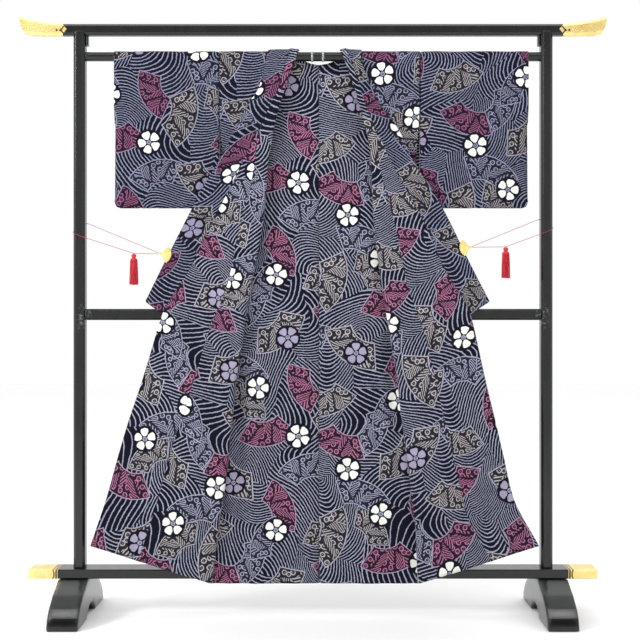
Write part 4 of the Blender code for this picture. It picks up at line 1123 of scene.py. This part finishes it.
def paintFans(graph, place, paint, colour):
    shape = fanShape()

    def holds(offset):
        return graph.math("GREATER_THAN", graph.use(shape, offset)[0], 0.0)

    chosen, kind = topmost(graph, place, printLook["fans"], holds, -1.0)
    inside, around, out = graph.use(shape, chosen)
    held = graph.math("GREATER_THAN", inside, 0.0)
    border = graph.times(held, graph.math("LESS_THAN", inside, printLook["fanBorder"]))
    gutter = graph.times(held, graph.math("LESS_THAN", inside, printLook["fanGutter"]))
    isTaupe = graph.math("COMPARE", kind, 1.0, 0.3)
    isLavender = graph.math("COMPARE", kind, 2.0, 0.3)
    tint = graph.mixColour(isTaupe, colour["plum"], colour["taupe"])
    tint = graph.mixColour(isLavender, tint, colour["lavender"])
    ground = graph.mixColour(0.03, colour["ground"], tint)
    fan = graph.mixColour(fanDrawing(graph, chosen, around, out), ground, tint)
    fan = graph.mixColour(gutter, fan, ground)
    fan = graph.mixColour(border, fan, graph.mixColour(0.55, tint, colour["line"]))
    return graph.mixColour(held, paint, fan)


def paintBlossoms(graph, place, paint, colour):
    look = printLook

    def holds(offset):
        return graph.math("LESS_THAN", graph.length(offset), 1.3)

    petalsAt, kind = topmost(graph, place, look["blossoms"], holds, 0.0)
    x, y, _ = graph.split(petalsAt)
    reach = graph.length(petalsAt)
    # the turn from the nearest petal's middle, for five petals
    fifth = graph.times(graph.math("ARCTAN2", x, y), 5 / (2 * math.pi))
    fifth = graph.minus(graph.math("FRACT", graph.math("ADD", fifth, 10.0)), 0.5)
    fifth = graph.times(fifth, 2 * math.pi / 5)
    outward = graph.times(reach, graph.math("COSINE", fifth))
    sideways = graph.times(reach, graph.math("SINE", fifth))
    # a petal is wider toward its rounded end
    middle, half, waist = look["petalMiddle"], look["petalHalf"], look["petalWaist"]
    width = graph.math("MULTIPLY_ADD", outward, look["petalWidening"], waist)
    lengthwise = graph.math("DIVIDE", graph.minus(outward, middle), half)
    parts = (
        graph.math("POWER", graph.math("ABSOLUTE", part), look["petalSquareness"])
        for part in (lengthwise, graph.math("DIVIDE", sideways, width))
    )
    petal = graph.smooth(graph.math("ADD", *parts), 1.08, 0.86)
    # the dark ground round it follows the petals
    scallop = graph.times(graph.math("COSINE", graph.times(fifth, 5.0)), 0.035)
    disc = graph.smooth(graph.minus(reach, scallop), 1.22, 1.16)
    ring = graph.smooth(graph.apart(reach, look["blossomRing"]), 0.065, 0.035)
    heart = graph.math("MAXIMUM", ring, graph.smooth(reach, 0.07, 0.04))
    # the tinted blossoms are brushed unevenly
    streak = graph.smooth(graph.noise(petalsAt, 6, 2, 0.6, "2D"), 0.42, 0.70, 0.0, 0.45)
    tint = graph.mixColour(kind, colour["white"], colour["lavender"])
    tint = graph.mixColour(graph.times(kind, streak), tint, colour["plum"])
    paint = graph.mixColour(disc, paint, colour["ground"])
    paint = graph.mixColour(heart, paint, colour["line"])
    return graph.mixColour(petal, paint, tint)


def printGroup(colours):
    look = printLook
    graph, place = newGroup("yukataPrint", {"Colour": "Color"})
    wander = graph.noise(place, look["wanderScale"], 2, 0.6, "2D", 1)
    place = graph.stray(place, wander, look["wander"])
    colour = {name: linear(*value) for name, value in colours.items()}
    paint = graph.mixColour(waterLines(graph, place), colour["ground"], colour["line"])
    paint = paintFans(graph, place, paint, colour)
    paint = paintBlossoms(graph, place, paint, colour)
    graph.node("NodeGroupOutput", [paint])
    return graph.tree


def cottonMaterial(name, colours):
    made, graph, shader = newMaterial(name)
    place = graph.add("ShaderNodeUVMap", uv_map="clothPlace")
    # the dye takes unevenly on the crepe-like weave
    grain = graph.noise(place, clothLook["grain"], 3, 0.65, "2D")
    cloudy = graph.noise(place, clothLook["unevenDye"], 2, 0.5, "2D")
    speck = graph.smooth(grain, 0.30, 0.72, 0.60, 1.06)
    tone = graph.times(speck, graph.smooth(cloudy, 0.3, 0.7, 0.93, 1.06))
    dyed = {0: graph.use(printGroup(colours), place)[0], "Scale": tone}
    # plain weave, slubs and crepe
    threads = clothLook["threads"]
    x, y, _ = graph.split(graph.vector("MULTIPLY", place, (threads, threads, 0)))
    weave = graph.times(graph.math("SINE", x), graph.math("SINE", y))
    long = graph.vector("MULTIPLY", place, (1, 0.22, 1))
    slub = graph.noise(long, clothLook["slubs"], 2, 0.6, "2D")
    crepe = graph.math("MULTIPLY_ADD", grain, 0.9, slub)
    graph.fill(shader, {
        "Base Color": graph.add("ShaderNodeVectorMath", dyed, operation="SCALE"),
        "Roughness": graph.smooth(grain, 0.3, 0.7, 0.84, 0.97),
        "Normal": graph.bump(0.35, 0.0005, graph.math("MULTIPLY_ADD", weave, 0.25, crepe)),
        "Sheen Weight": 0.04,
        "Sheen Roughness": 0.6,
        "Specular IOR Level": 0.12,
    })
    return made


# clips: a pleated shell of thin gilt metal over a plain rear jaw
clipLook = {
    "hinge": {"left": (-0.4585, -0.0389, 1.0965), "right": (0.4732, -0.0377, 1.1165)},
    "inward": {"left": (0.9868, -0.0539, -0.1529), "right": (-0.9866, -0.0576, -0.1525)},
    "face": {"left": (-0.0431, -0.9964, 0.0728), "right": (0.0463, -0.9960, 0.0767)},
    "hub": 0.0030,
    "radius": 0.0330,
    "angle": math.radians(104),
    "pleats": 9,
    "pleatDepth": 0.0018,
    "dome": 0.0011,
    "scallop": 0.045,
    "mouth": 0.0020,
    "plate": 0.0013,
    "pinProfile": (
        (0.0001, 0.0036), (0.0030, 0.0036), (0.0040, 0.0031), (0.0044, 0.0020),
        (0.0044, -0.0020), (0.0040, -0.0031), (0.0030, -0.0036), (0.0001, -0.0036),
    ),
}


def addPlate(verts, faces, radius, angle, near, far, pleat, steps, rings):
    # a fan-shaped plate between two depths, pleated on its outer face
    look, start, outer, inner = clipLook, len(verts), [], []
    for i in range(rings + 1):
        reach = look["hub"] + (radius - look["hub"]) * i / rings
        dome = look["dome"] * math.sin(math.pi * i / rings) if pleat else 0
        for j in range(steps + 1):
            share = j / steps
            turn = (share - 0.5) * angle
            wave = abs(math.sin(math.pi * look["pleats"] * share))
            rim = reach * (1 - look["scallop"] * (1 - wave)) if i > rings - 2 else reach
            lift = pleat * wave * (i / rings) + dome
            x, z = rim * math.cos(turn), rim * math.sin(turn)
            outer.append((x, far - lift if far < 0 else far + lift, z))
            inner.append((x, near, z))
    verts += outer + inner
    front = (start + np.arange(len(outer)).reshape(rings + 1, steps + 1)).tolist()
    back = [[corner + len(outer) for corner in row] for row in front]
    for i in range(rings):
        low, high, under, over = front[i], front[i + 1], back[i], back[i + 1]
        for j in range(steps):
            faces.append((low[j], high[j], high[j + 1], low[j + 1]))
            faces.append((under[j], under[j + 1], over[j + 1], over[j]))
        faces.append((low[0], under[0], over[0], high[0]))
        faces.append((high[-1], over[-1], under[-1], low[-1]))
    for j in range(steps):
        faces.append((front[-1][j], back[-1][j], back[-1][j + 1], front[-1][j + 1]))
        faces.append((front[0][j + 1], back[0][j + 1], back[0][j], front[0][j]))


def addClip(side, finish):
    look, verts, faces = clipLook, [], []
    mouth, plate = look["mouth"], look["plate"]
    shell = (look["radius"], look["angle"], -mouth, -mouth - plate * 0.5)
    addPlate(verts, faces, *shell, look["pleatDepth"], 72, 10)
    jaw = (look["radius"] * 0.93, look["angle"] * 0.66, mouth, mouth + plate)
    addPlate(verts, faces, *jaw, 0.0, 24, 4)
    start = len(verts)
    pin, pinFaces = roundShape(look["pinProfile"], 28)
    verts.extend((x, -z, y) for x, y, z in pin)
    faces.extend(tuple(start + i for i in face) for face in pinFaces)
    obj = addMesh("shellClip_" + side, verts, faces, finish)
    bm = bmesh.new()
    bm.from_mesh(obj.data)
    bmesh.ops.recalc_face_normals(bm, faces=bm.faces)
    bm.to_mesh(obj.data)
    bm.free()
    obj.data.set_sharp_from_angle(angle=math.radians(35))
    inward, back = Vector(look["inward"][side]), -Vector(look["face"][side])
    place = Matrix((inward, back, inward.cross(back))).transposed().to_4x4()
    place.translation = look["hinge"][side]
    obj.matrix_world = place
    standFor(obj, "clip_" + side)


# the rack keeps its solids and gets its finishes here
rackLook = {
    "cornerRound": 0.0045,
    "footRound": 0.026,
    "roughest": 0.27,
    "footRoughest": 0.17,
    "lacquer": ((9, 11, 11), (16, 20, 20)),
    "scuff": (120, 124, 120),
    "scuffAside": 0.695,
    "scuffHeight": 0.905,
    "gilt": (250, 226, 152),
    "giltDark": (212, 176, 92),
    "ornament": (34, 26, 14),
    # where each ornament's lines lie: up from the floor, and out from the middle
    "beamTip": {"middle": 1.7775, "slope": 0.8, "border": 0.766, "bow": 0.773, "brace": 0.0},
    "boardCap": {"middle": 0.1305, "slope": 0.0, "border": 0.7745, "bow": 0.0, "brace": 0.782},
}


def lacquerMaterial(name, cornerRound, roughest):
    made, graph, shader = newMaterial(name)
    place = graph.add("ShaderNodeTexCoord", output=3)
    brushed = graph.noise(graph.vector("MULTIPLY", place, (1, 1, 0.25)), 38, 3, 0.55)
    fine = graph.noise(place, 260, 2, 0.6)
    dark, pale = (linear(*colour) for colour in rackLook["lacquer"])
    base = graph.mixColour(graph.smooth(brushed, 0.3, 0.75), dark, pale)
    # slightly rounded corners, worn a little paler
    rounded = graph.add("ShaderNodeBevel", {"Radius": cornerRound}, samples=6)
    facing = graph.add("ShaderNodeNewGeometry", output=1)
    worn = graph.minus(1.0, graph.vector("DOT_PRODUCT", rounded, facing, output=1))
    edge = graph.times(graph.smooth(worn, 0.04, 0.25), graph.smooth(fine, 0.40, 0.62))
    # rubbed patches beside the middle rail's joints
    x, _, z = graph.split(place)
    sideways = graph.apart(graph.math("ABSOLUTE", x), rackLook["scuffAside"])
    upward = graph.apart(z, rackLook["scuffHeight"])
    patch = graph.times(graph.smooth(sideways, 0.030, 0.004), graph.smooth(upward, 0.050, 0.012))
    patch = graph.times(patch, graph.smooth(graph.noise(place, 120, 3, 0.7), 0.52, 0.66))
    rubbed = graph.math("MAXIMUM", graph.times(edge, 0.30), graph.times(patch, 0.8))
    rough = graph.smooth(brushed, 0.25, 0.75, roughest * 0.65, roughest)
    bump = {"Strength": 0.05, "Distance": 0.0003, "Height": brushed, "Normal": rounded}
    graph.fill(shader, {
        "Base Color": graph.mixColour(rubbed, base, linear(*rackLook["scuff"])),
        "Roughness": graph.math("ADD", rough, graph.times(rubbed, 0.3)),
        "Normal": graph.add("ShaderNodeBump", bump),
        "Specular IOR Level": 0.35,
        "Coat Weight": 0.30,
        "Coat Roughness": 0.08,
    })
    return made


def ornamentLines(graph, place, ornament):
    x, _, z = graph.split(place)
    out, up = graph.math("ABSOLUTE", x), graph.apart(z, ornament["middle"])
    # a dark border that follows the point, then a brace and a small bow
    border = graph.math("MULTIPLY_ADD", up, ornament["slope"], out)
    border = graph.smooth(graph.apart(border, ornament["border"]), 0.0030, 0.0020)
    brace = graph.math("SINE", graph.times(up, 420.0))
    brace = graph.math("MULTIPLY_ADD", brace, 0.0016, out)
    brace = graph.smooth(graph.apart(brace, ornament["brace"]), 0.0026, 0.0016)
    along = graph.apart(out, ornament["bow"])
    bow = graph.smooth(graph.minus(graph.times(along, 0.62), up), -0.0006, 0.0006)
    bow = graph.times(bow, graph.smooth(along, 0.0085, 0.0078))
    return graph.math("MAXIMUM", graph.math("MAXIMUM", border, brace), bow)


def giltMaterial(name, ornament=None):
    made, graph, shader = newMaterial(name)
    place = graph.add("ShaderNodeTexCoord", output=3)
    cloud = graph.noise(place, 30, 3, 0.55)
    fine = graph.noise(place, 420, 3, 0.6)
    gilt, metal = linear(*rackLook["gilt"]), 0.9
    base = graph.mixColour(graph.smooth(cloud, 0.3, 0.7), linear(*rackLook["giltDark"]), gilt)
    base = graph.mixColour(0.55, base, gilt)
    if ornament:
        line = ornamentLines(graph, place, ornament)
        base = graph.mixColour(line, base, linear(*rackLook["ornament"]))
        metal = graph.minus(0.85, graph.times(line, 0.8))
    graph.fill(shader, {
        "Base Color": base,
        "Metallic": metal,
        "Roughness": graph.smooth(fine, 0.3, 0.7, 0.26, 0.44),
        "Normal": graph.bump(0.15, 0.0004, fine),
    })
    return made


def clearMaterial():
    made, graph, shader = newMaterial("clearPlastic")
    haze = graph.noise(graph.add("ShaderNodeTexCoord", output=3), 180, 2, 0.5)
    mist = graph.smooth(haze, 0.3, 0.7)
    graph.fill(shader, {
        "Base Color": graph.mixColour(mist, linear(222, 228, 228), linear(240, 243, 243)),
        "Roughness": graph.smooth(haze, 0.3, 0.7, 0.06, 0.16),
        "Transmission Weight": 0.7,
        "IOR": 1.46,
    })
    return made


def finishRack():
    lacquer = lacquerMaterial("blackLacquer", rackLook["cornerRound"], rackLook["roughest"])
    wooden = ("post", "bracket", "bottom_board", "middle_rail", "top_beam", "hanging_bar")
    byPiece = {
        "beam_tip": giltMaterial("giltBeamEnd", rackLook["beamTip"]),
        "board_cap": giltMaterial("giltBoardEnd", rackLook["boardCap"]),
        "bar_ring": clearMaterial(),
        "foot": lacquerMaterial(
            "polishedFootLacquer", rackLook["footRound"], rackLook["footRoughest"]
        ),
        **dict.fromkeys(wooden, lacquer),
    }
    for name, obj in nodes.items():
        for start, finish in byPiece.items():
            if name.startswith(start):
                obj.data.materials.clear()
                obj.data.materials.append(finish)


addCamera()
silk = silkMaterial("twistedSilk", cordLook)
tasselSilk = silkMaterial("tasselSilk", tasselLook)
for side in sides:
    addCord(side, silk)
for side in sides:
    addTassel(side, tasselSilk)
print("cords and tassels hung")

addStudio()
finishRack()
print("rack finished")

outside = cottonMaterial("printedCottonOutside", clothColours["outside"])
inside = cottonMaterial("printedCottonInside", clothColours["inside"])
for side in sides:
    addBack(side, [outside, inside])
    addFront(side, [outside, inside])
    addOverlap(side, [outside, inside])
    addCollar(side, [outside, outside])
    addSleeve(side, [outside, inside])
print("robe hung")

clipGilt = giltMaterial("giltClip")
for side in sides:
    addClip(side, clipGilt)
print("clips closed")
